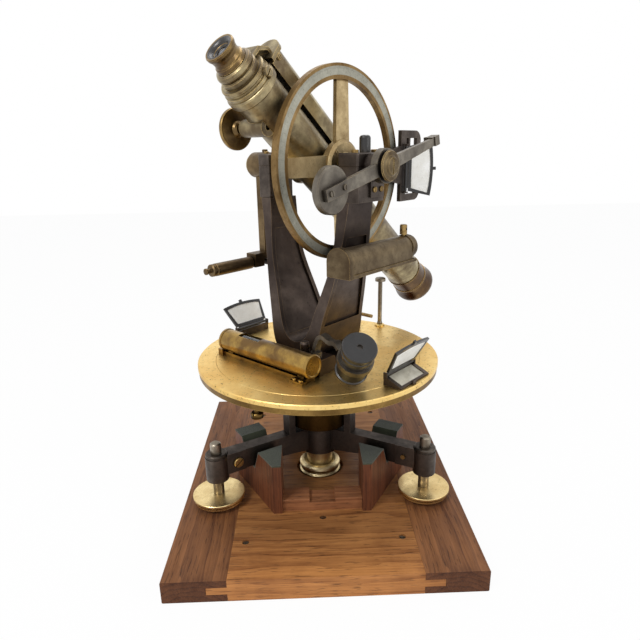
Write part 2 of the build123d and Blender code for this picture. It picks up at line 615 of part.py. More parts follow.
def tube_level():
    wide, low = TUBE_LEVEL_WIDTH / 2, TUBE_LEVEL_BASE
    top, near = low + TUBE_LEVEL_HEIGHT, -TUBE_LEVEL_NEAR
    far = near + TUBE_LEVEL_LENGTH
    spring = top - 8
    face = make_face(Polyline((-wide, low), (wide, low), (wide, spring)) + ThreePointArc(
        (wide, spring), (0, top), (-wide, spring)) + Line((-wide, spring), (-wide, low)))
    case = Pos(CENTRE_SHIFT, far, 0) * Rot(90, 0, 0) * extrude(face, amount=TUBE_LEVEL_LENGTH - 4)
    end = make_face(Polyline((-wide - 1, low + 2), (wide + 1, low + 2), (wide + 1, spring + 3)) + ThreePointArc(
        (wide + 1, spring + 3), (0, top + 3.4), (-wide - 1, spring + 3)) + Line((-wide - 1, spring + 3), (-wide - 1, low + 2)))
    cap = Pos(CENTRE_SHIFT, near + 4, 0) * Rot(90, 0, 0) * extrude(end, amount=4)
    case += cap
    for y in (near + 12, far - 12):
        case += block((CENTRE_SHIFT - 7, CENTRE_SHIFT + 7), (y - 4, y + 4), (12, low + 1))
    step = -TUBE_NEAR - FLANGE_LENGTH
    strap = plate_yz([(step - 3.4, COLLAR_RADIUS - 4), (step - 0.6, COLLAR_RADIUS - 4), (step - 0.4, low + 1),
                      (near - 3, top - 12), (near + 1, top - 12), (near + 1, top - 9.4), (near - 4, top - 9.4),
                      (step - 3.4, low + 3)], CENTRE_SHIFT - 9, CENTRE_SHIFT + 7)
    case += strap
    body = along_tube(Pos(0, 0, -TUBE_NEAR) * Cylinder(
        TUBE_RADIUS + 0.02, 300, align=(Align.CENTER, Align.CENTER, Align.MIN)))
    flange = along_tube(Pos(0, 0, step) * Cylinder(
        FLANGE_RADIUS + 0.02, FLANGE_LENGTH + GAP, align=(Align.CENTER, Align.CENTER, Align.MIN)))
    flange += along_tube(Pos(0, 0, step) * Cylinder(COLLAR_RADIUS + 0.02, 20))
    screw = Pos(CENTRE_SHIFT + wide, near + 6, low + 9) * Rot(0, 90, 0) * slotted(2.8, 1.4, 0.8)
    return sighted(case - body - flange + screw)


def objective_cell():
    """Flared brass cell screwed into the far end of the tube."""
    near, end, r = TUBE_FAR, OBJECTIVE_END, TUBE_RADIUS
    spigot = r - TUBE_WALL - FIT
    shape = turned((spigot - 2, near - 12), (spigot, near - 12), (spigot, near + 0.05), (r + 0.8, near + 0.05),
                   (r + 0.8, near + 1.8), (r + 0.2, near + 2.4), (r + 0.6, near + 17), (r + 1.5, near + 17.6),
                   (r + 1.5, near + 19.4), (r + 1.1, near + 20), (r + 1.9, near + 24), (r + 3.0, near + 28),
                   (r + 3.9, near + 31.5), (r + 4.1, end - 4), (r + 3.6, end - 1.5), (r + 2.4, end - 0.2), (r + 1, end),
                   (r - 0.8, end - 1), (r - 1.5, end - 4), (r - 1.5, near + 3), (spigot - 2, near + 3))
    return sighted(along_tube(shape))


def objective_lens():
    r, at = TUBE_RADIUS - 1.6, OBJECTIVE_END - 12
    glass = turned((0, at - 3), (r, at - 1.5), (r, at + 1.5), (r * 0.55, at + 2.7), (0, at + 3.2))
    return sighted(along_tube(glass))


def eye_draw():
    """Sliding tube with its end ring and the rack the pinion drives."""
    r, start = DRAW_RADIUS, -TUBE_NEAR - FLANGE_LENGTH - COLLAR_LENGTH - GAP
    seat, end = EYEPIECE_RADIUS + FIT, start + 72
    shape = turned((seat, start - 6.4), (14.4, start - 6.4), (16.4, start - 5.4), (17.3, start - 3.6),
                   (17.3, start - 2.2), (16.2, start), (r, start), (r, end), (r - 1.6, end), (r - 1.6, start + 6),
                   (seat, start + 3))
    tube = along_tube(shape)
    rack = block((CENTRE_SHIFT - 2, CENTRE_SHIFT + 2), (start + 18, end), (-r - 0.9, -r + 0.8))
    hollow = along_tube(Pos(0, 0, start + 6.5) * Cylinder(r - 1.6, 70, align=(Align.CENTER, Align.CENTER, Align.MIN)))
    return sighted(tube + (rack - hollow))


def eyepiece():
    """Flared eye cap with its short tube, which slides in the draw."""
    end, seat = -EYE_END, -TUBE_NEAR - FLANGE_LENGTH - COLLAR_LENGTH - GAP - 6.4
    r = EYEPIECE_RADIUS
    shape = turned((6.2, end + 4.5), (9.4, end + 1.4), (11.6, end + 0.3), (13.0, end), (13.6, end + 0.9),
                   (13.4, end + 3.0), (12.3, end + 5.4), (11.8, end + 8.4), (12.3, end + 11), (13.4, seat - 3.6),
                   (13.8, seat - GAP), (r, seat - GAP), (r, seat + 15), (6.2, seat + 15))
    glass = turned((0, end + 5.6), (6.3, end + 5.6), (6.3, end + 8), (0, end + 8))
    return sighted(along_tube(shape + glass))


def focus_knob():
    """Thin milled disc, slightly dished, with a hub on the pinion shaft, on the left of the tube."""
    r, shaft = KNOB_RADIUS, PINION_RADIUS
    disc = turned((0, 1.4), (r - 1.4, 0), (r, 0.8), (r, 3.0), (r - 0.6, 3.8), (r - 1.6, 3.8), (7, 5.6), (6.2, 7.4),
                  (4.8, 8.6), (shaft, 8.6), (shaft, KNOB_OUT + CENTRE_SHIFT + 3), (0, KNOB_OUT + CENTRE_SHIFT + 3))
    place = Pos(-KNOB_OUT, -PINION_AT, -PINION_DROP)
    return sighted(place * across(disc))


# Levels on the alidade.
def level_body():
    body = rod((LEVEL_FROM + 4, LEVEL_PLACE, LEVEL_HEIGHT), (LEVEL_TO - 4, LEVEL_PLACE, LEVEL_HEIGHT), LEVEL_RADIUS)
    right = across(turned((0, 0), (LEVEL_RADIUS + 0.5, 0), (LEVEL_RADIUS + 0.5, 2.6), (LEVEL_RADIUS - 0.6, 3.6),
                          (LEVEL_RADIUS - 2, 3.6), (LEVEL_RADIUS - 2.6, 3), (0, 3)))
    body += Pos(LEVEL_TO - 4, LEVEL_PLACE, LEVEL_HEIGHT) * right
    body += Pos(LEVEL_FROM + 4, LEVEL_PLACE, LEVEL_HEIGHT) * Rot(0, 0, 180) * right
    return body


def plate_level_tube():
    body = level_body()
    span = (LEVEL_FROM, LEVEL_TO)
    strip = block((span[0] + 2, span[1] - 5), (LEVEL_PLACE - 6.5, LEVEL_PLACE + 6.5), (PLATE_TOP + 0.02, PLATE_TOP + 4.2))
    shape = body + strip
    shape += block((span[0] + 8, span[0] + 15), (LEVEL_PLACE - 5, LEVEL_PLACE + 5), (PLATE_TOP + 4, LEVEL_HEIGHT - 8))
    shape += block((span[1] - 17, span[1] - 9), (LEVEL_PLACE - 5, LEVEL_PLACE + 5), (PLATE_TOP + 4, LEVEL_HEIGHT - 8))
    shape += block((span[0] - 4, span[0] + 2.5), (LEVEL_PLACE - 9, LEVEL_PLACE + 1), (PLATE_TOP + 0.02, PLATE_TOP + 7))
    x, y = CAPSTAN_AT
    shape += block((x - 5, x + 5), (LEVEL_PLACE + 6, y + 5), (PLATE_TOP + 0.02, PLATE_TOP + 3.4))
    shape += block((span[1] - 20, span[1] - 4), (LEVEL_PLACE - 13, LEVEL_PLACE - 6), (PLATE_TOP + 0.02, PLATE_TOP + 2.4))
    for x in (span[1] - 8, span[1] - 16):
        shape += Pos(x, LEVEL_PLACE - 9.8, PLATE_TOP + 2.2) * slotted(2.6, 2.2, 0.9)
    window = Pos(-35, LEVEL_PLACE, LEVEL_HEIGHT + LEVEL_RADIUS) * Box(30, 10, 8)
    bore = rod((LEVEL_FROM + 8, LEVEL_PLACE, LEVEL_HEIGHT), (LEVEL_TO - 8, LEVEL_PLACE, LEVEL_HEIGHT), LEVEL_RADIUS - 1.6)
    shape = shape - bore - window
    x, y = CAPSTAN_AT
    shape -= Pos(x, y, PLATE_TOP) * Cylinder(2.05, 20)
    return upright(shape)


def plate_level_vial():
    r = LEVEL_RADIUS - 1.65
    vial = rod((LEVEL_FROM + 8.1, LEVEL_PLACE, LEVEL_HEIGHT), (LEVEL_TO - 8.1, LEVEL_PLACE, LEVEL_HEIGHT), r)
    return upright(vial)


def plate_level_screw():
    """Capstan-headed adjusting screw behind the plate level."""
    low = PLATE_TOP + 0.1
    shape = turned((0, low), (2.0, low), (2.0, low + 19), (4.4, low + 19.5), (4.6, low + 21), (4.6, low + 29),
                   (3.8, low + 31), (0, low + 31))
    shape -= rod((-9, 0, low + 25), (9, 0, low + 25), 1.2)
    shape -= rod((0, -9, low + 25), (0, 9, low + 25), 1.2)
    return upright(Pos(*CAPSTAN_AT, 0) * shape)


def side_level_case():
    wide = SIDE_WIDTH / 2
    spring = SIDE_TOP - wide
    face = make_face(Polyline((-wide, SIDE_BOTTOM), (wide, SIDE_BOTTOM), (wide, spring)) + ThreePointArc(
        (wide, spring), (0, SIDE_TOP), (-wide, spring)) + Line((-wide, spring), (-wide, SIDE_BOTTOM)))
    face = make_face(face.edges())
    cap = Pos(SIDE_PLACE, SIDE_FROM + 6, 0) * Rot(90, 0, 0) * extrude(face, amount=6)
    slim = wide - 1.6
    tube = rod((SIDE_PLACE, SIDE_FROM + 6, spring), (SIDE_PLACE, SIDE_TO - 3, spring), slim)
    tube += block((SIDE_PLACE - slim, SIDE_PLACE + slim), (SIDE_FROM + 6, SIDE_TO - 12), (SIDE_BOTTOM + 3, spring))
    foot = block((SIDE_PLACE - slim - 1, SIDE_PLACE + slim + 1), (SIDE_FROM + 6, SIDE_TO - 6),
                 (SIDE_BOTTOM, SIDE_BOTTOM + 3))
    end = Pos(SIDE_PLACE, SIDE_TO - 12, spring) * Rot(-90, 0, 0) * turned(
        (0, 0), (slim + 0.8, 0), (slim + 0.8, 6), (slim - 0.6, 9), (slim - 5, 12), (0, 12))
    shape = cap + tube + foot + end
    arm = block((30, SIDE_PLACE - slim + 1), (-14, 14), (SIDE_BOTTOM + 1, SIDE_BOTTOM + 15))
    shape += arm
    shape -= Pos(SIDE_PLACE, SIDE_TO - 12, SIDE_TOP) * Cylinder(2.1, 16)
    shape = upright(shape)
    return shape - upright(block((-60, BEARING_INNER + 3), (-30, 30), (200, 300))) - standard_frame()


def side_level_screw():
    low = SIDE_TOP - 7.5
    shape = turned((0, low), (2.0, low), (2.0, low + 7.0), (3.6, low + 7.2), (3.6, low + 15.8), (3.0, low + 16.6),
                   (0, low + 16.6))
    shape -= rod((-9, 0, low + 12.4), (9, 0, low + 12.4), 1.2)
    return upright(Pos(SIDE_PLACE, SIDE_TO - 12, 0) * shape)


# Reflectors with their frames, made flat with the hinge line on Y and the panel towards +X.
def fan(length, inset):
    neck, wide = REFLECTOR_NECK / 2 - inset, REFLECTOR_WIDE / 2 - inset
    x0, x1 = 2.6 + inset, length - inset
    side = Line((x0, neck), (x1 - 2.5, wide))
    arc = ThreePointArc((x1 - 2.5, wide), (x1, 0), (x1 - 2.5, -wide))
    other = Line((x1 - 2.5, -wide), (x0, -neck))
    return make_face([side, arc, other, Line((x0, -neck), (x0, neck))])


def flat_frame(length):
    half = REFLECTOR_THICK / 2
    plate = extrude(fan(length, 0), amount=half, both=True)
    plate -= extrude(fan(length, REFLECTOR_BAR), amount=half * 3, both=True)
    neck = REFLECTOR_NECK / 2
    barrel = rod((0, -neck + 0.3, 0), (0, neck - 0.3, 0), 1.5)
    pins = rod((0, -neck - 1.6, 0), (0, neck + 1.6, 0), 1.0)
    web = block((0.5, 3.2), (-neck + 3, neck - 3), (-0.7, 0.7))
    tab = block((length - 0.6, length + 3), (-1.6, 1.6), (-half, half))
    return plate + barrel + pins + web + tab


def flat_panel(length):
    return extrude(fan(length, REFLECTOR_BAR + 0.02), amount=0.6, both=True)


def left_place(shape):
    return upright(Pos(-HINGE_OUT, 0, HINGE_HEIGHT) * Rot(0, -90 - LEAN_LEFT, 0) * shape)


def right_place(shape):
    return upright(Pos(HINGE_OUT, 0, HINGE_HEIGHT) * Rot(0, LEAN_RIGHT - 90, 0) * shape)


CARRIER_PLACE = 40.5
CARRIER_THICK = 4.0
SIDE_HINGE = (47.0, 90.0, 348.5)
SIDE_SWING = 42.0


def side_place(shape):
    return upright(Pos(*SIDE_HINGE) * Rot(0, 0, 90 - SIDE_SWING) * Rot(90, 0, 0) * shape)


def vernier_carrier():
    """Dark bracket across the circle's right edge, with a D-shaped guard and hinge ears."""
    x0, x1 = CARRIER_PLACE, CARRIER_PLACE + CARRIER_THICK
    low, high, near, far = 315.5, 386.5, 84.0, 121.0
    guard = block((x0, x1), (near, far), (low, high))
    guard = fillet(guard.edges().filter_by(Axis.X).group_by(Axis.Y)[-1], 10)
    guard -= block((x0 - 1, x1 + 1), (near + 9.5, far - 7.5), (low + 7, high - 7.5))
    guard += block((x0, x1), (near + 14, near + 17), (high - 18, high - 5))
    bar = plate_yz([(14, 341), (60, 338), (near + 4, 333), (near + 4, 372), (60, 366), (14, 364)], x0, x1)
    guard += bar
    guard += block((x1 - 0.5, BEARING_INNER - 0.02), (14, BEARING_HALF + 3), (342, 363))
    x, y, z = SIDE_HINGE
    reach = REFLECTOR_NECK / 2 + 0.5
    for side in (-1, 1):
        low_ear = z + side * reach - (1.5 if side < 0 else 0)
        guard += block((x1 - 0.5, x + 2), (y - 2, y + 2), (low_ear, low_ear + 1.5))
    guard -= rod((x, y, z - 30), (x, y, z + 30), 1.05)
    guard -= Pos(BEARING_INNER - 4, 0, AXIS_HEIGHT) * across(Cylinder(SEAT_RADIUS + 0.5, 20))
    return upright(guard)


# Magnifiers.
def magnifier_axis():
    a, b = Vector(*MAGNIFIER_BASE), Vector(*MAGNIFIER_HEAD)
    return Plane(origin=a, x_dir=(0.727, 0.6865, 0), z_dir=(b - a).normalized()), (b - a).length


def magnifier_tube():
    place, length = magnifier_axis()
    r = MAGNIFIER_RADIUS
    shape = turned((0, 2.6), (6, 2.2), (11, 0.8), (11.4, 0), (r - 0.4, 0), (r + 0.6, 0.8), (r + 0.6, 2.4), (r - 0.6, 3.2), (r - 0.6, length - 12),
                   (r + 0.4, length - 11.4), (r + 0.4, length - 8), (r - 0.2, length - 7.4), (r - 0.2, length - 4.6),
                   (r + 1.0, length - 4), (r + 1.0, length - 0.8), (r + 0.2, length), (2.6, length),
                   (2.2, length - 2), (0, length - 2))
    return upright(place * shape)


def magnifier_arm():
    """Swan-neck arm from its pivot to a ring round the magnifier."""
    place, length = magnifier_axis()
    r = MAGNIFIER_RADIUS - 0.6
    low = length * 0.42
    ring = turned((r + FIT, low), (r + 2.6, low), (r + 2.6, low + 6), (r + FIT, low + 6))
    x, y = MAGNIFIER_PIVOT
    top = PLATE_TOP + 16
    pin = rod((x, y, top - 9), (x, y, top + 3), 2.5)
    foot = Pos(x, y, top + GAP) * Cylinder(5.5, 6, align=(Align.CENTER, Align.CENTER, Align.MIN))
    goal = place.origin + place.z_dir * (low + 3)
    away = (goal - Vector(x, y, top)).normalized()
    side = away - place.z_dir * away.dot(place.z_dir)
    end = goal - side.normalized() * (r + 1.6)
    points = [(x, y, top + 3), (x + 2, y + 0.5, top + 16), (x + 9, y, top + 24), (x + 19, y - 1, top + 21),
              (end.X, end.Y, end.Z)]
    path = Spline(*points, tangents=[(0, 0, 1), (0.6, -0.2, -0.7)])
    section = Plane(origin=path @ 0, z_dir=path % 0, x_dir=(0, 1, 0)) * Rectangle(8, 4)
    neck = sweep(section, path=path)
    clear = place * Cylinder(r + FIT, 200)
    return upright(place * ring + pin + foot + neck - clear)


def reader(shape):
    """Places a part of the reader, made with the arm along Y, at its slope on the trunnion axis."""
    return upright(Pos(0, 0, AXIS_HEIGHT) * Rot(READER_SLOPE, 0, 0) * shape)


def reader_arm():
    x0, x1 = READER_PLACE, READER_PLACE + READER_THICK
    bar = plate_yz([(-READER_NEAR, -5), (0, -6), (READER_FAR, -3.2), (READER_FAR, 3.6), (0, 6), (-READER_NEAR, 4.6)],
                   x0, x1)
    bar += rod((x0 - 3, 0, 0), (x1, 0, 0), 15)
    bar += block((x0 - 4, x1 + 1), (READER_FAR - 5, READER_FAR + 3), (-4, 5))
    bar += block((x0 - 6, x1), (READER_FAR - 8, READER_FAR - 5), (1, 5))
    bar -= rod((x0 - 10, 0, 0), (x1 + 10, 0, 0), PIVOT_RADIUS + 3 + FIT)
    for y in (-DRUM_AT - 8, -DRUM_AT + 9):
        bar += Pos(x1, y, 0) * Rot(0, 90, 0) * slotted(2.4, 1.6, 0.8)
    return reader(bar)


def reader_drum():
    x1 = READER_PLACE - 0.02
    r, d = DRUM_RADIUS, DRUM_DEPTH
    cup = turned((0, 0), (r - 1, 0), (r, -1), (r, -d + 1), (r - 1, -d), (12, -d), (10, -d - 5), (8.4, -d - 5),
                 (7.8, -d - 3.8), (0, -d - 3))
    return reader(Pos(x1, -DRUM_AT, 0) * across(cup))


def reader_cap():
    x0 = READER_PLACE + READER_THICK + 2
    cap = turned((PIVOT_RADIUS - 4, 0.05), (13, 0.05), (13.5, 1), (12.6, 2.4), (9, 3), (7, 4.6), (0, 5), (0, 2),
                 (PIVOT_RADIUS - 4, 2))
    cap -= Pos(0, 0, 5) * Box(30, 1.2, 2)
    return upright(Pos(x0, 0, AXIS_HEIGHT) * across(cap))


# The telescope clamp with its slow motion, on the left.
def clamp_arm():
    x = -CLAMP_PLACE
    z = AXIS_HEIGHT
    wide = CLAMP_OUTER - LEFT_OUTER - GAP
    collar = Pos(-LEFT_OUTER - GAP, 0, z) * Rot(0, -90, 0) * turned(
        (PIVOT_RADIUS + FIT, 0), (CLAMP_RADIUS - 1, 0), (CLAMP_RADIUS, 1), (CLAMP_RADIUS, wide - 1),
        (CLAMP_RADIUS - 1, wide), (PIVOT_RADIUS + FIT, wide))
    bar = block((x - 4.5, x + 4.5), (-BAR_HALF, BAR_HALF), (TANGENT_HEIGHT + 3, z - 9))
    yoke = block((x - 7, x + 7), (-JAW_REACH, JAW_REACH), (TANGENT_HEIGHT + 1, TANGENT_HEIGHT + 7.5))
    jaws = block((x - 7, x + 7), (-JAW_REACH, -9), (TANGENT_HEIGHT - 7, TANGENT_HEIGHT + 2))
    jaws += block((x - 7, x + 7), (9, JAW_REACH), (TANGENT_HEIGHT - 7, TANGENT_HEIGHT + 2))
    shape = collar + bar + yoke + jaws
    shape += Pos(x + 6, 0, z + CLAMP_RADIUS - 0.6) * slotted(3.0, 3.4, 1.0)
    shape += Pos(x + 4.5, 0.5, z - 26) * Rot(0, 90, 0) * slotted(2.8, 1.2, 0.8)
    shape -= rod((x, -40, TANGENT_HEIGHT - 2), (x, 40, TANGENT_HEIGHT - 2), 3.05)
    shape -= Pos(-CLAMP_OUTER, 0, z) * across(Cylinder(PIVOT_RADIUS + FIT, 80))
    return upright(shape)


def spring_barrel():
    """Spring housing with its guide rod, facing the observer's left."""
    length = BARREL_FAR - JAW_REACH
    reach = JAW_REACH - 3
    shape = turned((0, -reach), (1.4, -reach), (2.95, 2 - reach), (2.95, PLUNGER_TRAVEL), (6.6, PLUNGER_TRAVEL),
                   (6.6, length - 6), (5.6, length - 5.4),
                   (5.6, length - 4.6), (6.4, length - 4), (6.4, length - 0.8), (5.4, length), (2.6, length + 0.6),
                   (2.6, length + 4), (3.3, length + 4.6), (3.3, length + 6.4), (0, length + 7))
    return upright(Pos(-CLAMP_PLACE, -JAW_REACH, TANGENT_HEIGHT - 2) * Rot(90, 0, 0) * shape)


def tangent_screw():
    shape = turned((0, 4.4 - JAW_REACH), (3.0, 4.4 - JAW_REACH), (3.0, 3), (7.4, 3), (8.2, 3.8), (8.2, 9), (7.4, 10), (4, 10.6),
                   (3, 12), (0, 12))
    return upright(Pos(-CLAMP_PLACE, JAW_REACH, TANGENT_HEIGHT - 2) * Rot(-90, 0, 0) * shape)


def upper_clamp_screw():
    """Long spindle of the plate clamp with its milled head."""
    x, y = POST_AT
    z = PLATE_TOP
    shape = turned((0, z - 1.9), (3.05, z - 1.9), (3.05, z + 3), (3.2, z + 4), (2.6, z + 6), (2.6, POST_TOP - 0.6), (6.2, POST_TOP),
                   (6.2, POST_TOP + 3.2), (5.2, POST_TOP + 4), (0, POST_TOP + 4))
    return upright(Pos(x, y, 0) * shape)


PARTS = {
    "board_panel": board_panel,
    "board_screws": board_screws,
    "rail_left": lambda: board_rail(-1),
    "rail_right": lambda: board_rail(1),
    "front_stop": front_stop,
    "cradle_front_left": lambda: cradle("left"),
    "cradle_front_right": lambda: cradle("right"),
    "cradle_rear": lambda: cradle("rear"),
    "cradle_baize": cradle_baize,
    "tribrach": tribrach,
    "foot_collars": foot_collars,
    "foot_clamp_screws": foot_clamp_screws,
    "centre_spigot": centre_spigot,
    "foot_shaft_left": lambda: foot_shaft("left"),
    "foot_shaft_right": lambda: foot_shaft("right"),
    "foot_shaft_rear": lambda: foot_shaft("rear"),
    "foot_disc_left": lambda: foot_disc("left"),
    "foot_disc_right": lambda: foot_disc("right"),
    "foot_disc_rear": lambda: foot_disc("rear"),
    "limb_plate": limb_plate,
    "limb_clamp_screw": limb_clamp_screw,
    "vernier_plate": vernier_plate,
    "window_frames": window_frames,
    "window_panes": window_panes,
    "standard_frame": standard_frame,
    "bearing_right": bearing_right,
    "bearing_left": bearing_left,
    "alidade_fittings": alidade_fittings,
    "oil_cap": oil_cap,
    "plate_level_tube": plate_level_tube,
    "plate_level_vial": plate_level_vial,
    "plate_level_screw": plate_level_screw,
    "side_level_case": side_level_case,
    "side_level_screw": side_level_screw,
    "vernier_carrier": vernier_carrier,
    "upper_clamp_screw": upper_clamp_screw,
    "reader_cap": reader_cap,
    "reflector_left_frame": lambda: left_place(flat_frame(REFLECTOR_LENGTH)),
    "reflector_left_panel": lambda: left_place(flat_panel(REFLECTOR_LENGTH)),
    "reflector_right_frame": lambda: right_place(flat_frame(REFLECTOR_LENGTH)),
    "reflector_right_panel": lambda: right_place(flat_panel(REFLECTOR_LENGTH)),
    "reflector_side_frame": lambda: side_place(flat_frame(SIDE_LEAF_LENGTH)),
    "reflector_side_panel": lambda: side_place(flat_panel(SIDE_LEAF_LENGTH)),
    "magnifier_arm": magnifier_arm,
    "magnifier_tube": magnifier_tube,
    "reader_arm": reader_arm,
    "reader_drum": reader_drum,
    "clamp_arm": clamp_arm,
    "spring_barrel": spring_barrel,
    "tangent_screw": tangent_screw,
    "telescope_tube": telescope_tube,
    "trunnion_axle": trunnion_axle,
    "vertical_circle": vertical_circle,
    "circle_limb": circle_limb,
    "tube_level": tube_level,
    "objective_cell": objective_cell,
    "objective_lens": objective_lens,
    "eye_draw": eye_draw,
    "eyepiece": eyepiece,
    "focus_knob": focus_knob,
}


def main():
    os.makedirs("parts", exist_ok=True)
    for node, make in PARTS.items():
        export_step(make(), f"parts/{node}.step")


if __name__ == "__main__":
    main()
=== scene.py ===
"""Looks of an old brass theodolite on its wooden storage board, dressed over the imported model."""
import math

import bpy
import numpy as np
from bpy.props import FloatProperty, FloatVectorProperty, IntProperty, PointerProperty
from mathutils import Matrix, Vector


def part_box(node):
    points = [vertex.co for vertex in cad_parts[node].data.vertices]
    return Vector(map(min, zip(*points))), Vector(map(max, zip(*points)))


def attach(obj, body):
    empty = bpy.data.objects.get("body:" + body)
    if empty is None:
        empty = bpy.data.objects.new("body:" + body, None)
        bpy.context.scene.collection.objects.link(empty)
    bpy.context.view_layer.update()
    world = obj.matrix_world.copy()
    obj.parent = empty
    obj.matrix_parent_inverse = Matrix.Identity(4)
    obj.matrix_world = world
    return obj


bl_info = {
    "name": "Theodolite Looks",
    "version": (1, 0, 0),
    "blender": (4, 5, 0),
    "location": "View3D > Sidebar > Theodolite",
    "description": "Finishes, small optical pieces and studio for a theodolite on its board",
    "category": "Object",
}

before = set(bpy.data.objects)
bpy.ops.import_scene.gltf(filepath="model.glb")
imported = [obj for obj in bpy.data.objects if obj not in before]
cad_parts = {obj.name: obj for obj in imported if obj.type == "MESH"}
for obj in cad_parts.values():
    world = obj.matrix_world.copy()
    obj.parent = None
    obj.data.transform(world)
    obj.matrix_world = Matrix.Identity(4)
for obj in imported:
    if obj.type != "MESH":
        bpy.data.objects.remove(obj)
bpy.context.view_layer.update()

# Where the CAD has its axes: metres, and radians.
TRUNNION_HEIGHT = 0.3546
SIGHT_DIP = math.radians(39.5)
HEADING = math.radians(-43.36)
SIGHT_OFFSET = 0.003
EYE_END = 0.1438
QUARTER = math.radians(90)

# Where the photograph was taken from, in metres and radians, and its lens in millimetres.
CAMERA_PLACE = (-0.0116, -0.5478, 0.3694)
CAMERA_PITCH, CAMERA_ROLL, CAMERA_YAW = 0.30509, -0.01778, 0.02667
CAMERA_LENS, SENSOR_WIDTH = 30.49, 36.0


def tone(red, green, blue):
    """Linear colour of a colour given in 0 to 255 as a screen shows it."""
    return tuple(((v / 255 + 0.055) / 1.055) ** 2.4 if v > 10 else v / 3294.6 for v in (red, green, blue))


# Small helpers for shader trees.
def feed(tree, socket, value):
    """Links a socket to an input, or sets the input's own value."""
    if isinstance(value, bpy.types.NodeSocket):
        tree.links.new(value, socket)
    elif socket.type == "RGBA":
        socket.default_value = (*value[:3], 1.0)
    else:
        socket.default_value = value


def put(tree, kind, inputs=None, **settings):
    """New node with its settings, and its inputs fed by name."""
    node = tree.nodes.new(kind)
    for name, value in settings.items():
        setattr(node, name, value)
    for name, value in (inputs or {}).items():
        feed(tree, node.inputs[name], value)
    return node


def calc(tree, operation, *values):
    """Result of one step of arithmetic."""
    node = put(tree, "ShaderNodeMath", operation=operation)
    for socket, value in zip(node.inputs, values):
        feed(tree, socket, value)
    return node.outputs[0]


def colours(tree, share, first, second, mode="MIX"):
    """First colour turned into the second by a share, or blended with it in another mode."""
    node = put(tree, "ShaderNodeMix", data_type="RGBA", blend_type=mode)
    for index, value in ((0, share), (6, first), (7, second)):
        feed(tree, node.inputs[index], value)
    return node.outputs[2]


def ramp(tree, value, low, high, start=0.0, end=1.0):
    """Value stretched so that low becomes start and high becomes end, held there outside."""
    node = put(tree, "ShaderNodeMapRange", {"Value": value, "From Min": low, "From Max": high,
                                            "To Min": start, "To Max": end})
    return node.outputs["Result"]


def noise(tree, vector, scale, detail=4.0, roughness=0.55, distortion=0.0):
    """Noise from 0 to 1 at a scale per metre."""
    node = put(tree, "ShaderNodeTexNoise", {"Vector": vector, "Scale": scale, "Detail": detail,
                                            "Roughness": roughness, "Distortion": distortion})
    return node.outputs["Fac"]


def stretched(tree, vector, scale=(1.0, 1.0, 1.0), turn=(0.0, 0.0, 0.0), shift=(0.0, 0.0, 0.0)):
    """Vector that is scaled, turned and then shifted."""
    node = put(tree, "ShaderNodeMapping", {"Vector": vector, "Scale": scale, "Rotation": turn,
                                           "Location": shift})
    return node.outputs["Vector"]


def parts_of(tree, vector):
    """The X, Y and Z of a vector."""
    return put(tree, "ShaderNodeSeparateXYZ", {"Vector": vector}).outputs


def reach_of(tree, first, second):
    """Length over two axes at right angles: the root of the sum of their squares."""
    squares = [calc(tree, "MULTIPLY", value, value) for value in (first, second)]
    return calc(tree, "SQRT", calc(tree, "ADD", *squares))


def here(tree):
    """Place of the shaded point in the part's own frame."""
    return put(tree, "ShaderNodeTexCoord").outputs["Object"]


def seen_directly(tree):
    """1 for what the camera sees by itself, in a mirror or through glass, and 0 for what only lights."""
    path = put(tree, "ShaderNodeLightPath").outputs
    mirrored = calc(tree, "MAXIMUM", path["Is Glossy Ray"], path["Is Transmission Ray"])
    return calc(tree, "MAXIMUM", path["Is Camera Ray"], mirrored)


def new_group(name, inputs, outputs):
    """Shader node group with named sockets; returns the tree and its input and output nodes."""
    tree = bpy.data.node_groups.new(name, "ShaderNodeTree")
    for label, kind, value in inputs:
        socket = tree.interface.new_socket(name=label, in_out="INPUT", socket_type="NodeSocket" + kind)
        if value is not None:
            socket.default_value = (*value, 1.0) if kind == "Color" else value
    for label, kind in outputs:
        tree.interface.new_socket(name=label, in_out="OUTPUT", socket_type="NodeSocket" + kind)
    return tree, tree.nodes.new("NodeGroupInput").outputs, tree.nodes.new("NodeGroupOutput").inputs


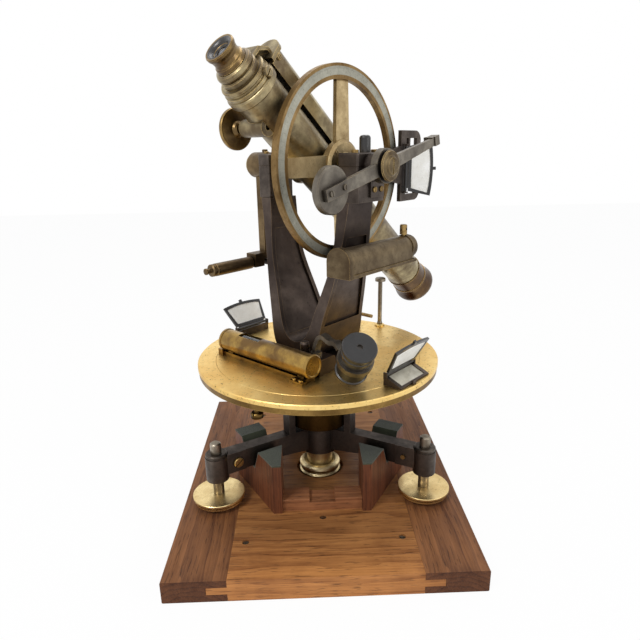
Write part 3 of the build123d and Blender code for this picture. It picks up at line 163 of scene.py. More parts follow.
def tarnish_group():
    """Aged metal: dull patches, specks, painted shade darkening the hollows, and bright worn edges."""
    found = bpy.data.node_groups.get("Tarnish")
    if found:
        return found
    tree, given, out = new_group("Tarnish", [
        ("Clean", "Color", (0.6, 0.45, 0.2)), ("Dull", "Color", (0.3, 0.2, 0.1)),
        ("Speck And Shade", "Color", (0.05, 0.04, 0.03)), ("Edge", "Color", (0.8, 0.6, 0.3)), ("Scale", "Float", 20.0),
        ("Dullness", "Float", 0.5), ("Specks", "Float", 0.5), ("Wear", "Float", 0.5),
        ("Edge Size", "Float", 0.0006), ("Roughness", "Float", 0.35), ("Painted Hollow Shade", "Float", 0.75)],
        [("Color", "Color"), ("Roughness", "Float"), ("Height", "Float")])
    place = here(tree)
    broad = noise(tree, place, given["Scale"], 6.0, 0.62, 0.35)
    limit = calc(tree, "SUBTRACT", 0.78, calc(tree, "MULTIPLY", given["Dullness"], 0.5))
    dull = ramp(tree, broad, calc(tree, "SUBTRACT", limit, 0.16), calc(tree, "ADD", limit, 0.10))
    middle = noise(tree, place, calc(tree, "MULTIPLY", given["Scale"], 5.0), 5.0, 0.6)
    fine = noise(tree, place, calc(tree, "MULTIPLY", given["Scale"], 26.0), 3.0, 0.6)
    speck = calc(tree, "MULTIPLY", ramp(tree, fine, 0.60, 0.68), given["Specks"])
    speck = calc(tree, "MULTIPLY", speck, ramp(tree, middle, 0.38, 0.62, 0.25, 1.0))
    normal = put(tree, "ShaderNodeNewGeometry").outputs["Normal"]
    bevel = put(tree, "ShaderNodeBevel", {"Radius": given["Edge Size"]}, samples=4).outputs["Normal"]
    facing = put(tree, "ShaderNodeVectorMath", operation="DOT_PRODUCT")
    tree.links.new(normal, facing.inputs[0])
    tree.links.new(bevel, facing.inputs[1])
    edge = ramp(tree, facing.outputs["Value"], 0.985, 0.86)
    edge = calc(tree, "MULTIPLY", edge, ramp(tree, middle, 0.3, 0.6, 0.25, 1.0))
    edge = calc(tree, "MULTIPLY", edge, given["Wear"])
    shade = colours(tree, dull, given["Clean"], given["Dull"])
    shade = colours(tree, ramp(tree, middle, 0.34, 0.66, 0.0, 0.55), shade, given["Dull"])
    shade = colours(tree, speck, shade, given["Speck And Shade"])
    # Painted shade: hollows that ambient occlusion finds are darkened towards the speck colour.
    hollow = put(tree, "ShaderNodeAmbientOcclusion", {"Distance": 0.012}, samples=6).outputs["AO"]
    painted_hollow_shade = calc(tree, "MULTIPLY", ramp(tree, hollow, 0.85, 0.25), given["Painted Hollow Shade"])
    painted_hollow_shade = calc(tree, "MULTIPLY", painted_hollow_shade, ramp(tree, middle, 0.3, 0.6, 0.6, 1.0))
    shade = colours(tree, painted_hollow_shade, shade, given["Speck And Shade"])
    shade = colours(tree, edge, shade, given["Edge"])
    tree.links.new(shade, out["Color"])
    rough = calc(tree, "ADD", given["Roughness"], calc(tree, "MULTIPLY", dull, 0.12))
    rough = calc(tree, "ADD", rough, calc(tree, "MULTIPLY", speck, 0.2))
    rough = calc(tree, "ADD", rough, ramp(tree, middle, 0.3, 0.7, -0.05, 0.07))
    rough = calc(tree, "SUBTRACT", rough, calc(tree, "MULTIPLY", edge, 0.08))
    tree.links.new(rough, out["Roughness"])
    raised, sunk = calc(tree, "MULTIPLY", middle, 0.6), calc(tree, "MULTIPLY", speck, 0.5)
    tree.links.new(calc(tree, "SUBTRACT", raised, sunk), out["Height"])
    return tree


def timber_group():
    """Oiled timber with its grain along Y: rings about a far heart line, fibres, open pores and stains."""
    found = bpy.data.node_groups.get("Timber")
    if found:
        return found
    tree, given, out = new_group("Timber", [
        ("Vector", "Vector", None), ("Light", "Color", (0.4, 0.2, 0.1)), ("Dark", "Color", (0.2, 0.08, 0.03)),
        ("Pore", "Color", (0.05, 0.02, 0.01)), ("Rings", "Float", 160.0), ("Ring Contrast", "Float", 0.6)],
        [("Color", "Color"), ("Roughness", "Float"), ("Height", "Float")])
    place = given["Vector"]
    sway = noise(tree, stretched(tree, place, (1.0, 0.16, 1.0)), 22.0, 3.0, 0.5)
    parts = parts_of(tree, place)
    years = calc(tree, "MULTIPLY", reach_of(tree, parts["X"], parts["Z"]), given["Rings"])
    wave = calc(tree, "FRACT", calc(tree, "ADD", years, calc(tree, "MULTIPLY", sway, 5.0)))
    ring = calc(tree, "MULTIPLY", calc(tree, "POWER", wave, 2.2), given["Ring Contrast"])
    fibre = noise(tree, stretched(tree, place, (1.0, 0.03, 1.0)), 620.0, 4.0, 0.6)
    streak = noise(tree, stretched(tree, place, (1.0, 0.05, 1.0)), 110.0, 4.0, 0.6)
    pore = ramp(tree, noise(tree, stretched(tree, place, (1.0, 0.07, 1.0)), 900.0, 2.0, 0.5), 0.60, 0.68)
    stain = noise(tree, place, 14.0, 5.0, 0.6, 0.5)
    share = calc(tree, "ADD", ring, ramp(tree, streak, 0.32, 0.68, 0.0, 0.38))
    share = calc(tree, "ADD", share, ramp(tree, fibre, 0.3, 0.7, -0.14, 0.34))
    share = calc(tree, "ADD", share, ramp(tree, stain, 0.35, 0.65, -0.15, 0.25))
    shade = colours(tree, ramp(tree, share, 0.0, 1.0), given["Light"], given["Dark"])
    shade = colours(tree, calc(tree, "MULTIPLY", pore, 0.6), shade, given["Pore"])
    tree.links.new(shade, out["Color"])
    tree.links.new(ramp(tree, streak, 0.3, 0.7, 0.42, 0.60), out["Roughness"])
    tree.links.new(calc(tree, "SUBTRACT", fibre, calc(tree, "MULTIPLY", pore, 0.9)), out["Height"])
    return tree


def divisions_group():
    """Fine engraved lines at equal angles about X of the given vector, longer at every tenth."""
    found = bpy.data.node_groups.get("Divisions")
    if found:
        return found
    tree, given, out = new_group("Divisions", [
        ("Vector", "Vector", None), ("Count", "Float", 360.0), ("Inner", "Float", 0.07),
        ("Outer", "Float", 0.08)], [("Mask", "Float")])
    parts = parts_of(tree, given["Vector"])
    turns = calc(tree, "DIVIDE", calc(tree, "ARCTAN2", parts["Z"], parts["Y"]), 2 * math.pi)
    lines = calc(tree, "MULTIPLY", turns, given["Count"])
    along = ramp(tree, reach_of(tree, parts["Y"], parts["Z"]), given["Inner"], given["Outer"])
    masks = []
    for share, width, start in ((1.0, 0.22, 0.62), (0.1, 0.03, 0.25)):
        step = calc(tree, "FRACT", calc(tree, "MULTIPLY", lines, share))
        thin = calc(tree, "LESS_THAN", step, width)
        masks.append(calc(tree, "MULTIPLY", thin, calc(tree, "GREATER_THAN", along, start)))
    tree.links.new(calc(tree, "MAXIMUM", *masks), out["Mask"])
    return tree


def about_axle(tree):
    """Place of a point as the telescope's cross axle has it: X along the axle and the origin on it."""
    return stretched(tree, here(tree), turn=(0.0, 0.0, -HEADING), shift=(0.0, 0.0, -TRUNNION_HEIGHT))


def from_axle(tree):
    """Distance of a point from the telescope's cross axle."""
    parts = parts_of(tree, about_axle(tree))
    return reach_of(tree, parts["Y"], parts["Z"])


def new_material(name):
    """Empty material tree with a Principled BSDF joined to its output."""
    material = bpy.data.materials.new(name)
    material.use_nodes = True
    tree = material.node_tree
    tree.nodes.clear()
    surface = tree.nodes.new("ShaderNodeBsdfPrincipled")
    output = tree.nodes.new("ShaderNodeOutputMaterial")
    tree.links.new(surface.outputs["BSDF"], output.inputs["Surface"])
    return material, tree, surface


def relief(tree, surface, height, depth, strength):
    """Fine relief of a surface, its depth in metres."""
    bump = put(tree, "ShaderNodeBump", {"Height": height, "Distance": depth, "Strength": strength})
    tree.links.new(bump.outputs["Normal"], surface.inputs["Normal"])


def metal(name, nodes, clean, dull, speck, edge, scale=20.0, dullness=0.5, specks=0.4, wear=0.5,
          edge_size=0.0006, roughness=0.35, metallic=1.0, coat=0.0):
    """Metal that has aged, given to CAD nodes: the tarnish group drives colour, roughness and relief.
    Scale is that of its patches per metre, and edge_size the width of its worn edges in metres."""
    material, tree, surface = new_material(name)
    group = put(tree, "ShaderNodeGroup", node_tree=tarnish_group())
    # The speck colour is also the colour of the painted shade in the hollows.
    for label, value in (("Clean", clean), ("Dull", dull), ("Speck And Shade", speck), ("Edge", edge), ("Scale", scale),
                         ("Dullness", dullness), ("Specks", specks), ("Wear", wear), ("Edge Size", edge_size),
                         ("Roughness", roughness)):
        feed(tree, group.inputs[label], value)
    tree.links.new(group.outputs["Color"], surface.inputs["Base Color"])
    tree.links.new(group.outputs["Roughness"], surface.inputs["Roughness"])
    surface.inputs["Metallic"].default_value = metallic
    surface.inputs["Coat Weight"].default_value = coat
    surface.inputs["Coat Roughness"].default_value = 0.25
    relief(tree, surface, group.outputs["Height"], 0.0003, 0.12)
    dress(material, *nodes)
    return material, tree, surface, group


def timber(name, nodes, light, dark, pore, turn=(0.0, 0.0, 0.0), heart=(0.0, 0.0, 0.0), rings=160.0,
           contrast=0.4, front=None, end=None):
    """Timber given to CAD nodes. Turn and heart bring its grain to Y and its heart line to the origin, front
    is a tint of the board towards its front edge, and end a tint of the ends that face along the board."""
    material, tree, surface = new_material(name)
    place = here(tree)
    group = put(tree, "ShaderNodeGroup", node_tree=timber_group())
    feed(tree, group.inputs["Vector"], stretched(tree, place, turn=turn, shift=heart))
    for label, value in (("Light", light), ("Dark", dark), ("Pore", pore), ("Rings", rings),
                         ("Ring Contrast", contrast)):
        feed(tree, group.inputs[label], value)
    shade = group.outputs["Color"]
    if front is not None:
        uneven = calc(tree, "MULTIPLY", noise(tree, place, 9.0), 0.05)
        near = ramp(tree, calc(tree, "ADD", parts_of(tree, place)["Y"], uneven), -0.085, -0.165)
        shade = colours(tree, near, shade, colours(tree, 1.0, shade, front, "MULTIPLY"))
    if end is not None:
        normal = put(tree, "ShaderNodeNewGeometry").outputs["Normal"]
        cut = ramp(tree, calc(tree, "ABSOLUTE", parts_of(tree, normal)["Y"]), 0.6, 0.9)
        shade = colours(tree, cut, shade, colours(tree, 1.0, shade, end, "MULTIPLY"))
    tree.links.new(shade, surface.inputs["Base Color"])
    tree.links.new(group.outputs["Roughness"], surface.inputs["Roughness"])
    surface.inputs["Specular IOR Level"].default_value = 0.22
    relief(tree, surface, group.outputs["Height"], 0.0004, 0.35)
    dress(material, *nodes)


def darkened_beyond(tree, surface, group, measure, low, high, tint):
    """Tints a metal more and more as a measure goes from low to high."""
    clean = group.outputs["Color"]
    darker = colours(tree, 1.0, clean, tint, "MULTIPLY")
    tree.links.new(colours(tree, ramp(tree, measure, low, high), clean, darker), surface.inputs["Base Color"])


def dress(material, *nodes):
    """Gives CAD nodes a finish; their meshes and places stay as they are."""
    for name in nodes:
        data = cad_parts[name].data
        if data.materials:
            for index in range(len(data.materials)):
                data.materials[index] = material
        else:
            data.materials.append(material)


def band_radius():
    """Outer radius of the divided band of the vertical circle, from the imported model."""
    low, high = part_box("circle_limb")
    return (high.z - low.z) / 2


# Surfaces of the small pieces, worked out as grids.
def turned_grid(radii, heights, steps=64):
    """A profile carried round an axis: at turn a the point is radius times (cos a, sin a), at its height."""
    turn = np.linspace(0, 2 * np.pi, steps, endpoint=False)
    r, h = np.asarray(radii, float)[:, None], np.asarray(heights, float)[:, None]
    return np.stack([r * np.cos(turn), r * np.sin(turn), h + 0 * turn], axis=-1)


def looped_mesh(name, grid):
    """Mesh of a grid that closes on itself in both directions, as a ring of any section does."""
    rows, steps = grid.shape[:2]
    index = np.arange(rows * steps).reshape(rows, steps)
    below, right = np.roll(index, -1, axis=0), np.roll(index, -1, axis=1)
    quads = np.stack([index, right, np.roll(below, -1, axis=1), below], axis=-1).reshape(-1, 4)
    mesh = bpy.data.meshes.new(name)
    mesh.from_pydata(grid.reshape(-1, 3).tolist(), [], quads.tolist())
    mesh.update()
    mesh.shade_smooth()
    return mesh


def closed_mesh(name, grid):
    """Mesh of a grid that closes round its second direction, with its two end rows closed by a fan each."""
    rows, steps = grid.shape[:2]
    points = np.concatenate([grid.reshape(-1, 3), grid[0].mean(axis=0)[None], grid[-1].mean(axis=0)[None]])
    index = np.arange(rows * steps).reshape(rows, steps)
    right = np.roll(index, -1, axis=1)
    quads = np.stack([index[:-1], right[:-1], right[1:], index[1:]], axis=-1).reshape(-1, 4)
    first, last = rows * steps, rows * steps + 1
    caps = np.concatenate([np.stack([np.full(steps, first), right[0], index[0]], axis=-1),
                           np.stack([np.full(steps, last), index[-1], right[-1]], axis=-1)])
    mesh = bpy.data.meshes.new(name)
    mesh.from_pydata(points.tolist(), [], quads.tolist() + caps.tolist())
    mesh.update()
    mesh.shade_smooth()
    return mesh


def sight_matrix(along):
    """Places a piece turned about its own Z on the telescope's line of sight, at a distance from the axle."""
    place = (Matrix.Rotation(HEADING, 4, "Z") @ Matrix.Translation((0, 0, TRUNNION_HEIGHT))
             @ Matrix.Rotation(-SIGHT_DIP, 4, "X"))
    return place @ Matrix.Translation((SIGHT_OFFSET, along, 0)) @ Matrix.Rotation(-QUARTER, 4, "X")


def add_piece(name, mesh, matrix, body, material):
    """New piece with its place in its mesh, riding on a body and given a material."""
    mesh.transform(matrix)
    piece = bpy.data.objects.new(name, mesh)
    bpy.context.scene.collection.objects.link(piece)
    piece.data.materials.append(material)
    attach(piece, body)
    return piece


class BrassFinish(bpy.types.PropertyGroup):
    """Colours of the brass parts."""
    plate: FloatVectorProperty(name="Plate", description="Clean brass of the large plate", subtype="COLOR",
                               size=3, min=0, max=1, default=tone(250, 218, 142))
    plate_dull: FloatVectorProperty(name="Plate patina", description="Browned brass of the large plate",
                                    subtype="COLOR", size=3, min=0, max=1, default=tone(224, 184, 108))
    tube: FloatVectorProperty(name="Tube", description="Olive lacquer of the telescope", subtype="COLOR",
                              size=3, min=0, max=1, default=tone(206, 190, 146))
    tube_dull: FloatVectorProperty(name="Tube patina", description="Dark areas of the telescope's lacquer",
                                   subtype="COLOR", size=3, min=0, max=1, default=tone(104, 88, 64))
    polished: FloatVectorProperty(name="Polished", description="Bright brass of the foot discs",
                                  subtype="COLOR", size=3, min=0, max=1, default=tone(244, 220, 164))
    roughness: FloatProperty(name="Roughness", description="Base roughness of lacquered brass", default=0.32,
                             min=0.05, max=0.9, subtype="FACTOR")


class DarkFinish(bpy.types.PropertyGroup):
    """Colours of the blackened metal parts."""
    bronze: FloatVectorProperty(name="Bronze", description="Brown bronze of the standards", subtype="COLOR",
                                size=3, min=0, max=1, default=tone(94, 82, 74))
    gunmetal: FloatVectorProperty(name="Gunmetal", description="Charcoal of the foot and bearings",
                                  subtype="COLOR", size=3, min=0, max=1, default=tone(106, 96, 88))
    steel: FloatVectorProperty(name="Steel", description="Screw stubs and rods", subtype="COLOR", size=3,
                               min=0, max=1, default=tone(168, 158, 142))
    silver: FloatVectorProperty(name="Silver", description="Divided band of the circle", subtype="COLOR",
                                size=3, min=0, max=1, default=tone(172, 170, 156))
    divisions: IntProperty(name="Divisions", description="Fine lines round the divided band", default=720,
                           min=36, max=1440)


class BoardFinish(bpy.types.PropertyGroup):
    """Colours of the storage board."""
    panel: FloatVectorProperty(name="Panel", description="Lighter wood of the middle panel", subtype="COLOR",
                               size=3, min=0, max=1, default=tone(174, 120, 70))
    rail: FloatVectorProperty(name="Rail", description="Darker wood of the side rails", subtype="COLOR",
                              size=3, min=0, max=1, default=tone(148, 98, 60))
    cradle: FloatVectorProperty(name="Cradle", description="Wood of the cradles", subtype="COLOR", size=3,
                                min=0, max=1, default=tone(122, 72, 46))
    baize: FloatVectorProperty(name="Baize", description="Green cloth on the cradles", subtype="COLOR",
                               size=3, min=0, max=1, default=tone(55, 60, 42))


class StudioSettings(bpy.types.PropertyGroup):
    """Light and floor."""
    key: FloatProperty(name="Key", description="Power of the main soft lamp", default=9.0, min=0,
                       unit="POWER")
    fill: FloatProperty(name="Fill", description="Power of the side lamp", default=4.5, min=0, unit="POWER")
    top: FloatProperty(name="Top", description="Power of the overhead lamp", default=5.0, min=0,
                       unit="POWER")
    ambient: FloatProperty(name="Ambient", description="Strength of the surrounding light", default=0.5,
                           min=0)
    floor: FloatProperty(name="Floor", description="Half width of the floor", default=3.0, min=0.5,
                         unit="LENGTH")


class FinishStep:
    """Options that each step of this add-on shares."""
    bl_options = {"REGISTER", "UNDO"}


class THEODOLITE_OT_brass(FinishStep, bpy.types.Operator):
    """Finish the plates, telescope, levels and knobs in aged brass"""
    bl_idname = "theodolite.brass"
    bl_label = "Brass parts"

    def execute(self, context):
        look = context.scene.theodolite_brass
        rough, black, gold = look.roughness, tone(38, 28, 18), tone(224, 186, 104)
        metal("plate brass", ["vernier_plate"], look.plate, look.plate_dull, black, gold, scale=16.0,
              dullness=0.35, specks=0.75, wear=0.15, edge_size=0.0008, roughness=rough + 0.04)
        _, tree, surface, group = metal(
            "limb brass", ["limb_plate", "limb_clamp_screw"], tone(158, 126, 72), tone(104, 80, 44), black,
            gold, specks=0.5, wear=0.6, edge_size=0.0008, roughness=rough)
        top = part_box("limb_plate")[1].z
        # Painted shade: the hub under the vernier plate is darkened, more and more from 11 to 14 mm below the
        # limb plate's top.
        darkened_beyond(tree, surface, group, parts_of(tree, here(tree))["Z"], top - 0.011, top - 0.014,
                       tone(130, 120, 112))
        metal("tube lacquer", ["telescope_tube", "eye_draw", "tube_level", "trunnion_axle"], look.tube,
              look.tube_dull, tone(36, 26, 18), tone(222, 188, 116), scale=24.0, specks=0.35, wear=0.8,
              edge_size=0.0009, roughness=rough, coat=0.25)
        metal("eye brass", ["eyepiece", "focus_knob"], tone(176, 146, 90), tone(88, 68, 44), black,
              tone(216, 178, 104), scale=30.0, specks=0.3, wear=0.9, edge_size=0.0008, roughness=rough - 0.04,
              coat=0.2)
        metal("cap brass", ["reader_cap"], tone(128, 112, 84), tone(82, 68, 50), black, tone(216, 184, 120),
              scale=60.0, wear=0.9, edge_size=0.0012, roughness=rough)
        metal("cell brass", ["objective_cell"], tone(128, 98, 60), tone(74, 54, 38), black,
              tone(206, 168, 96), scale=26.0, dullness=0.6, specks=0.3, wear=0.95, edge_size=0.0012,
              roughness=rough - 0.08, coat=0.3)
        _, tree, surface, group = metal(
            "circle brass", ["vertical_circle"], tone(210, 188, 144), tone(146, 124, 88), black,
            tone(206, 178, 122), scale=34.0, specks=0.7, wear=0.6, edge_size=0.0007, roughness=rough + 0.08)
        # The rim next to the divided band is darker than the spokes, more and more from 12.5 to 11.5 mm
        # inside the band's outer radius.
        darkened_beyond(tree, surface, group, from_axle(tree), band_radius() - 0.0125, band_radius() - 0.0115,
                       tone(186, 172, 152))
        metal("level lacquer", ["plate_level_tube"], tone(206, 168, 84), tone(112, 84, 44), black, gold,
              scale=30.0, dullness=0.55, wear=0.6, edge_size=0.0007, roughness=rough - 0.08, coat=0.3)
        metal("screw brass", ["side_level_screw", "tangent_screw", "alidade_fittings", "foot_clamp_screws"],
              tone(190, 160, 104), tone(120, 96, 60), black, gold, scale=60.0, wear=0.7, edge_size=0.0004,
              roughness=rough)
        metal("polished brass", ["foot_disc_left", "foot_disc_right", "foot_disc_rear"], look.polished,
              tone(204, 174, 116), tone(60, 44, 24), tone(240, 208, 136), scale=22.0, dullness=0.35,
              specks=0.5, wear=0.7, edge_size=0.0008, roughness=rough - 0.06)
        metal("nose brass", ["centre_spigot"], tone(250, 232, 186), tone(212, 188, 140), tone(90, 74, 50),
              gold, scale=40.0, dullness=0.35, wear=0.6, edge_size=0.0008, roughness=rough + 0.02)
        metal("case lacquer", ["side_level_case"], tone(126, 110, 84), tone(78, 64, 48), tone(34, 28, 22),
              tone(182, 152, 98), scale=26.0, wear=0.7, edge_size=0.0008, roughness=rough + 0.06)
        return {"FINISHED"}


class THEODOLITE_OT_dark_metal(FinishStep, bpy.types.Operator):
    """Finish the standards, foot, bearings, steel stubs and divided band"""
    bl_idname = "theodolite.dark_metal"
    bl_label = "Dark metal parts"

    def execute(self, context):
        look = context.scene.theodolite_dark
        # Dark colour of the specks, also used as the painted shade in the hollows.
        soot_and_shade = tone(26, 22, 20)
        metal("standards bronze", ["standard_frame", "plate_level_screw"], look.bronze, tone(66, 57, 53),
              soot_and_shade, tone(160, 134, 100), scale=18.0, wear=0.6, edge_size=0.0011, roughness=0.36)
        metal("clamp bronze", ["clamp_arm", "spring_barrel"], tone(128, 108, 78), tone(80, 64, 46), soot_and_shade,
              tone(190, 158, 104), scale=26.0, wear=0.7, edge_size=0.0008, roughness=0.36)
        metal("gunmetal", ["tribrach", "bearing_right", "bearing_left", "vernier_carrier", "window_frames"],
              look.gunmetal, tone(64, 57, 53), soot_and_shade, tone(128, 112, 96), scale=24.0, edge_size=0.0009,
              roughness=0.40)
        metal("arm bronze", ["reader_arm", "reader_drum", "magnifier_arm"], tone(136, 129, 117),
              tone(92, 86, 79), soot_and_shade, tone(164, 146, 118), scale=30.0, wear=0.7, roughness=0.36)
        metal("turned steel", ["foot_shaft_left", "foot_shaft_right", "foot_shaft_rear", "upper_clamp_screw",
                               "board_screws"], look.steel, tone(112, 102, 88), tone(54, 44, 34),
              tone(206, 200, 188), scale=60.0, dullness=0.45, specks=0.6, edge_size=0.0005, roughness=0.34)
        metal("foot collar steel", ["foot_collars"], tone(96, 88, 80), tone(58, 52, 48), soot_and_shade,
              tone(160, 148, 130), scale=40.0, roughness=0.38)
        metal("black enamel", ["oil_cap", "magnifier_tube", "reflector_left_frame", "reflector_right_frame",
                               "reflector_side_frame"], tone(34, 32, 32), tone(22, 21, 21), tone(70, 60, 48),
              tone(110, 96, 78), scale=40.0, dullness=0.4, specks=0.25, wear=0.45, edge_size=0.0005,
              roughness=0.32, metallic=0.25, coat=0.4)
        _, tree, surface, group = metal(
            "divided silver", ["circle_limb"], look.silver, tone(146, 144, 132), tone(46, 44, 38),
            tone(206, 200, 176), scale=40.0, specks=0.6, wear=0.3, edge_size=0.0005, roughness=0.42)
        lines = put(tree, "ShaderNodeGroup", node_tree=divisions_group())
        for label, value in (("Vector", about_axle(tree)), ("Count", float(look.divisions)),
                             ("Inner", band_radius() - 0.006), ("Outer", band_radius())):
            feed(tree, lines.inputs[label], value)
        ink = calc(tree, "MULTIPLY", lines.outputs["Mask"], 0.55)
        tree.links.new(colours(tree, ink, group.outputs["Color"], tone(40, 38, 34)),
                       surface.inputs["Base Color"])
        return {"FINISHED"}


class THEODOLITE_OT_board(FinishStep, bpy.types.Operator):
    """Finish the storage board, its stop, cradles and baize"""
    bl_idname = "theodolite.board"
    bl_label = "Board and cradles"

    def execute(self, context):
        look = context.scene.theodolite_board
        pore, rail_dark = tone(46, 26, 16), tone(92, 56, 34)
        timber("panel timber", ["board_panel"], look.panel, tone(112, 68, 36), pore, (0.0, 0.0, QUARTER),
               (0.0, 0.0, -0.18), rings=120.0, front=(1.5, 1.42, 1.3))
        for side, heart in (("left", (0.115, 0.0, 0.03)), ("right", (-0.115, 0.0, 0.03))):
            timber(f"{side} rail timber", [f"rail_{side}"], look.rail, rail_dark, pore, heart=heart,
                   rings=210.0, contrast=0.45, end=tone(190, 176, 170))
        timber("stop timber", ["front_stop"], tone(168, 112, 74), tone(106, 64, 40), pore,
               (0.0, 0.0, QUARTER), (0.0, 0.0, -0.1))
        timber("cradle timber", ["cradle_front_left", "cradle_front_right", "cradle_rear"], look.cradle,
               tone(72, 40, 26), pore, (QUARTER, 0.0, 0.0), (0.0, 0.0, 0.1), rings=180.0)
        material, tree, surface = new_material("cradle baize")
        place = here(tree)
        nap = noise(tree, place, 1500.0, 3.0, 0.6)
        worn = noise(tree, place, 60.0, 5.0, 0.65)
        shade = colours(tree, ramp(tree, worn, 0.35, 0.65), look.baize, tone(37, 42, 29))
        shade = colours(tree, ramp(tree, nap, 0.45, 0.7, 0.0, 0.5), shade, tone(88, 90, 64))
        tree.links.new(shade, surface.inputs["Base Color"])
        tree.links.new(ramp(tree, nap, 0.3, 0.7, 0.85, 1.0), surface.inputs["Roughness"])
        surface.inputs["Sheen Weight"].default_value = 0.3
        relief(tree, surface, nap, 0.0005, 0.6)
        dress(material, "cradle_baize")
        return {"FINISHED"}


class THEODOLITE_OT_glass_and_card(FinishStep, bpy.types.Operator):
    """Finish the reflector cards, windows, vial and object glass"""
    bl_idname = "theodolite.glass_and_card"
    bl_label = "Glass and card"

    def execute(self, context):
        material, tree, surface = new_material("reflector card")
        place = here(tree)
        cloud = noise(tree, place, 55.0, 5.0, 0.6)
        grit = noise(tree, place, 900.0, 3.0, 0.6)
        shade = colours(tree, ramp(tree, cloud, 0.35, 0.7), tone(246, 245, 241), tone(226, 223, 214))
        shade = colours(tree, ramp(tree, grit, 0.62, 0.7, 0.0, 0.35), shade, tone(120, 112, 98))
        tree.links.new(shade, surface.inputs["Base Color"])
        tree.links.new(ramp(tree, cloud, 0.3, 0.7, 0.6, 0.8), surface.inputs["Roughness"])
        relief(tree, surface, grit, 0.0002, 0.2)
        dress(material, "reflector_left_panel", "reflector_right_panel", "reflector_side_panel")
        material, tree, surface = new_material("window pane")
        place = here(tree)
        cloud = noise(tree, place, 70.0, 4.0, 0.6)
        shade = colours(tree, ramp(tree, cloud, 0.3, 0.7), tone(226, 222, 206), tone(176, 168, 146))
        tree.links.new(shade, surface.inputs["Base Color"])
        tree.links.new(ramp(tree, cloud, 0.4, 0.75, 0.3, 0.5), surface.inputs["Roughness"])
        surface.inputs["Coat Weight"].default_value = 0.8
        surface.inputs["Coat Roughness"].default_value = 0.05
        dress(material, "window_panes")
        for name, tint, nodes in (("vial glass", (0.80, 0.88, 0.72), ("plate_level_vial",)),
                                  ("object glass", (0.86, 0.90, 0.94), ("objective_lens",))):
            material, tree, surface = new_material(name)
            smear = noise(tree, here(tree), 140.0, 4.0, 0.6)
            surface.inputs["Base Color"].default_value = (*tint, 1.0)
            surface.inputs["Transmission Weight"].default_value = 1.0
            surface.inputs["IOR"].default_value = 1.5
            tree.links.new(ramp(tree, smear, 0.4, 0.75, 0.02, 0.16), surface.inputs["Roughness"])
            dress(material, *nodes)
        return {"FINISHED"}


# Section of the stop in the eyepiece, radius and depth behind the eye end in millimetres, and its lens.
STOP_SECTION = [(11.9, 0.45), (11.5, 0.12), (10.9, 0.10), (9.2, 1.05), (7.6, 2.55), (7.4, 3.6), (4.6, 3.9),
                (4.6, 4.6), (6.1, 5.1), (6.3, 4.7), (9.45, 1.5)]
LENS_RADIUS, LENS_RIM, LENS_DOME = 4.55, 4.75, 0.9


class THEODOLITE_OT_eye_lens(FinishStep, bpy.types.Operator):
    """Set a blackened stop ring and a domed eye lens in the eyepiece"""
    bl_idname = "theodolite.eye_lens"
    bl_label = "Eye lens and stop"

    def execute(self, context):
        section = np.array(STOP_SECTION) / 1000
        ring = looped_mesh("eye_stop", turned_grid(section[:, 0], section[:, 1]))
        matrix = sight_matrix(-EYE_END)
        black = metal("stop enamel", [], tone(40, 37, 36), tone(26, 24, 24), tone(90, 76, 56),
                      tone(150, 128, 92), scale=60.0, dullness=0.4, specks=0.3, wear=0.6, edge_size=0.0004,
                      roughness=0.3, metallic=0.3, coat=0.5)[0]
        add_piece("eye_stop", ring, matrix, "eye_lens", black)
        # The dome is a quarter of an ellipse from near the axis to the rim; a flat back closes the lens.
        bow = np.linspace(0.02, 1.0, 12) * np.pi / 2
        radii = np.concatenate([LENS_RADIUS * np.sin(bow), [LENS_RADIUS, 2.25, 0.05]]) / 1000
        depth = np.concatenate([LENS_RIM - LENS_DOME * np.cos(bow), [5.3, 5.45, 5.5]]) / 1000
        lens = closed_mesh("eye_glass", turned_grid(radii, depth, 48))
        # The eye lens is opaque: its dark blue-grey colour is painted shade for the unlit tube seen through
        # the glass, and its clear coat gives the reflections.
        material, tree, surface = new_material("eye glass painted dark")
        smear = noise(tree, here(tree), 500.0, 3.0, 0.6)
        tree.links.new(colours(tree, ramp(tree, smear, 0.35, 0.7), tone(36, 38, 44), tone(70, 74, 84)),
                       surface.inputs["Base Color"])
        tree.links.new(ramp(tree, smear, 0.4, 0.75, 0.05, 0.2), surface.inputs["Roughness"])
        surface.inputs["Coat Weight"].default_value = 1.0
        surface.inputs["Coat Roughness"].default_value = 0.03
        add_piece("eye_glass", lens, matrix, "eye_lens", material)
        return {"FINISHED"}


class THEODOLITE_OT_stage(FinishStep, bpy.types.Operator):
    """Build the floor, the surrounding light, the lamps and the camera"""
    bl_idname = "theodolite.stage"
    bl_label = "Stage and camera"

    def execute(self, context):
        look = context.scene.theodolite_studio
        build_floor(context.scene, look.floor)
        build_surroundings(context.scene, look.ambient)
        for name, power, size, place in (("key", look.key, 0.45, (-0.75, -0.85, 1.15)),
                                         ("fill", look.fill, 0.5, (1.1, -0.7, 0.7)),
                                         ("top", look.top, 0.9, (0.1, 0.5, 1.5))):
            add_lamp(context.scene, name, power, size, place)
        camera = bpy.data.cameras.new("camera")
        camera.lens, camera.sensor_width = CAMERA_LENS, SENSOR_WIDTH
        camera.clip_start, camera.clip_end = 0.01, 20.0
        holder = bpy.data.objects.new("camera", camera)
        context.scene.collection.objects.link(holder)
        holder.matrix_world = camera_matrix(CAMERA_PLACE, CAMERA_PITCH, CAMERA_ROLL, CAMERA_YAW)
        context.scene.camera = holder
        context.scene.view_settings.view_transform = "Standard"
        return {"FINISHED"}


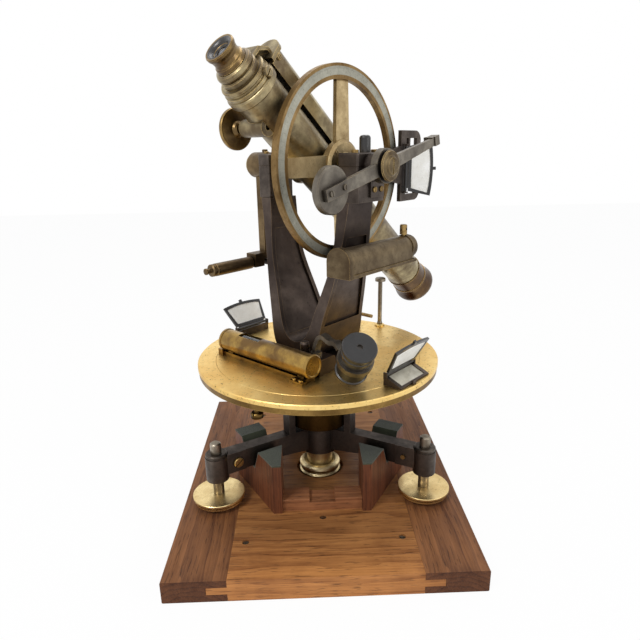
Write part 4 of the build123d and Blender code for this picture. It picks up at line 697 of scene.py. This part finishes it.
def build_floor(scene, half):
    """White floor just under the board, which glows where it is seen so that it meets the background."""
    edge = np.array([[-half, -half, 0.0], [half, -half, 0.0], [half, half, 0.0], [-half, half, 0.0]])
    mesh = bpy.data.meshes.new("studio_floor")
    mesh.from_pydata((edge - (0, 0, 0.0002)).tolist(), [], [(0, 1, 2, 3)])
    floor = bpy.data.objects.new("studio_floor", mesh)
    scene.collection.objects.link(floor)
    material, tree, surface = new_material("studio floor")
    surface.inputs["Base Color"].default_value = (0.9, 0.9, 0.9, 1.0)
    surface.inputs["Roughness"].default_value = 0.9
    surface.inputs["Specular IOR Level"].default_value = 0.0
    glow = put(tree, "ShaderNodeEmission", {"Color": (1.0, 1.0, 1.0), "Strength": 1.0})
    share = calc(tree, "MULTIPLY", seen_directly(tree), 0.96)
    output = next(n for n in tree.nodes if n.type == "OUTPUT_MATERIAL")
    blend(tree, share, surface.outputs["BSDF"], glow.outputs["Emission"], output)
    mesh.materials.append(material)


def build_surroundings(scene, strength):
    """World that is white where it is seen and lights the model with a softer, cooler light."""
    world = bpy.data.worlds.new("studio")
    scene.world = world
    world.use_nodes = True
    tree = world.node_tree
    tree.nodes.clear()
    around = put(tree, "ShaderNodeBackground", {"Color": (0.96, 0.98, 1.0), "Strength": strength})
    backdrop = put(tree, "ShaderNodeBackground", {"Color": (1.0, 1.0, 1.0), "Strength": 1.0})
    blend(tree, seen_directly(tree), around.outputs["Background"], backdrop.outputs["Background"],
          put(tree, "ShaderNodeOutputWorld"))


def blend(tree, share, first, second, output):
    """Mixes two shaders by a share into an output."""
    mix = put(tree, "ShaderNodeMixShader", {"Fac": share})
    tree.links.new(first, mix.inputs[1])
    tree.links.new(second, mix.inputs[2])
    tree.links.new(mix.outputs["Shader"], output.inputs["Surface"])


def add_lamp(scene, name, power, size, place):
    """Square soft lamp at a place, its own -Z turned to a point in the middle of the model."""
    lamp = bpy.data.lights.new(name, "AREA")
    lamp.energy, lamp.size = power, size
    holder = bpy.data.objects.new(name, lamp)
    scene.collection.objects.link(holder)
    holder.location = place
    holder.rotation_euler = (Vector(place) - Vector((0.0, 0.0, 0.2))).to_track_quat("Z", "Y").to_euler()


def camera_matrix(place, pitch, roll, yaw):
    """Camera looking along +Y turned by yaw, tipped down by pitch and rolled about its own line of sight."""
    ahead = np.array([math.sin(yaw) * math.cos(pitch), math.cos(yaw) * math.cos(pitch), -math.sin(pitch)])
    right = np.array([math.cos(yaw), -math.sin(yaw), 0.0])
    up = np.cross(right, ahead)
    side = math.cos(roll) * right + math.sin(roll) * up
    top = math.cos(roll) * up - math.sin(roll) * right
    rows = np.eye(4)
    rows[:3, 0], rows[:3, 1], rows[:3, 2], rows[:3, 3] = side, top, -ahead, place
    return Matrix(rows.tolist())


class THEODOLITE_PT_panel(bpy.types.Panel):
    """Lists the theodolite's finishes and its stage"""
    bl_label = "Theodolite"
    bl_idname = "THEODOLITE_PT_panel"
    bl_space_type = "VIEW_3D"
    bl_region_type = "UI"
    bl_category = "Theodolite"

    def draw(self, context):
        for group in ("theodolite_brass", "theodolite_dark", "theodolite_board", "theodolite_studio"):
            settings = getattr(context.scene, group)
            box = self.layout.box()
            for name in settings.__annotations__:
                box.prop(settings, name)
        for step in STEPS:
            self.layout.operator(step.bl_idname)


STEPS = [THEODOLITE_OT_stage, THEODOLITE_OT_brass, THEODOLITE_OT_dark_metal, THEODOLITE_OT_board,
         THEODOLITE_OT_glass_and_card, THEODOLITE_OT_eye_lens]
GROUPS = {"theodolite_brass": BrassFinish, "theodolite_dark": DarkFinish, "theodolite_board": BoardFinish,
          "theodolite_studio": StudioSettings}


def register():
    for kind in (*GROUPS.values(), *STEPS, THEODOLITE_PT_panel):
        bpy.utils.register_class(kind)
    for name, kind in GROUPS.items():
        setattr(bpy.types.Scene, name, PointerProperty(type=kind))


def unregister():
    for name in GROUPS:
        delattr(bpy.types.Scene, name)
    for kind in (THEODOLITE_PT_panel, *reversed(STEPS), *reversed(list(GROUPS.values()))):
        bpy.utils.unregister_class(kind)


def main():
    register()
    for step in STEPS:
        area, name = step.bl_idname.split(".")
        getattr(getattr(bpy.ops, area), name)()


if __name__ == "__main__":
    main()
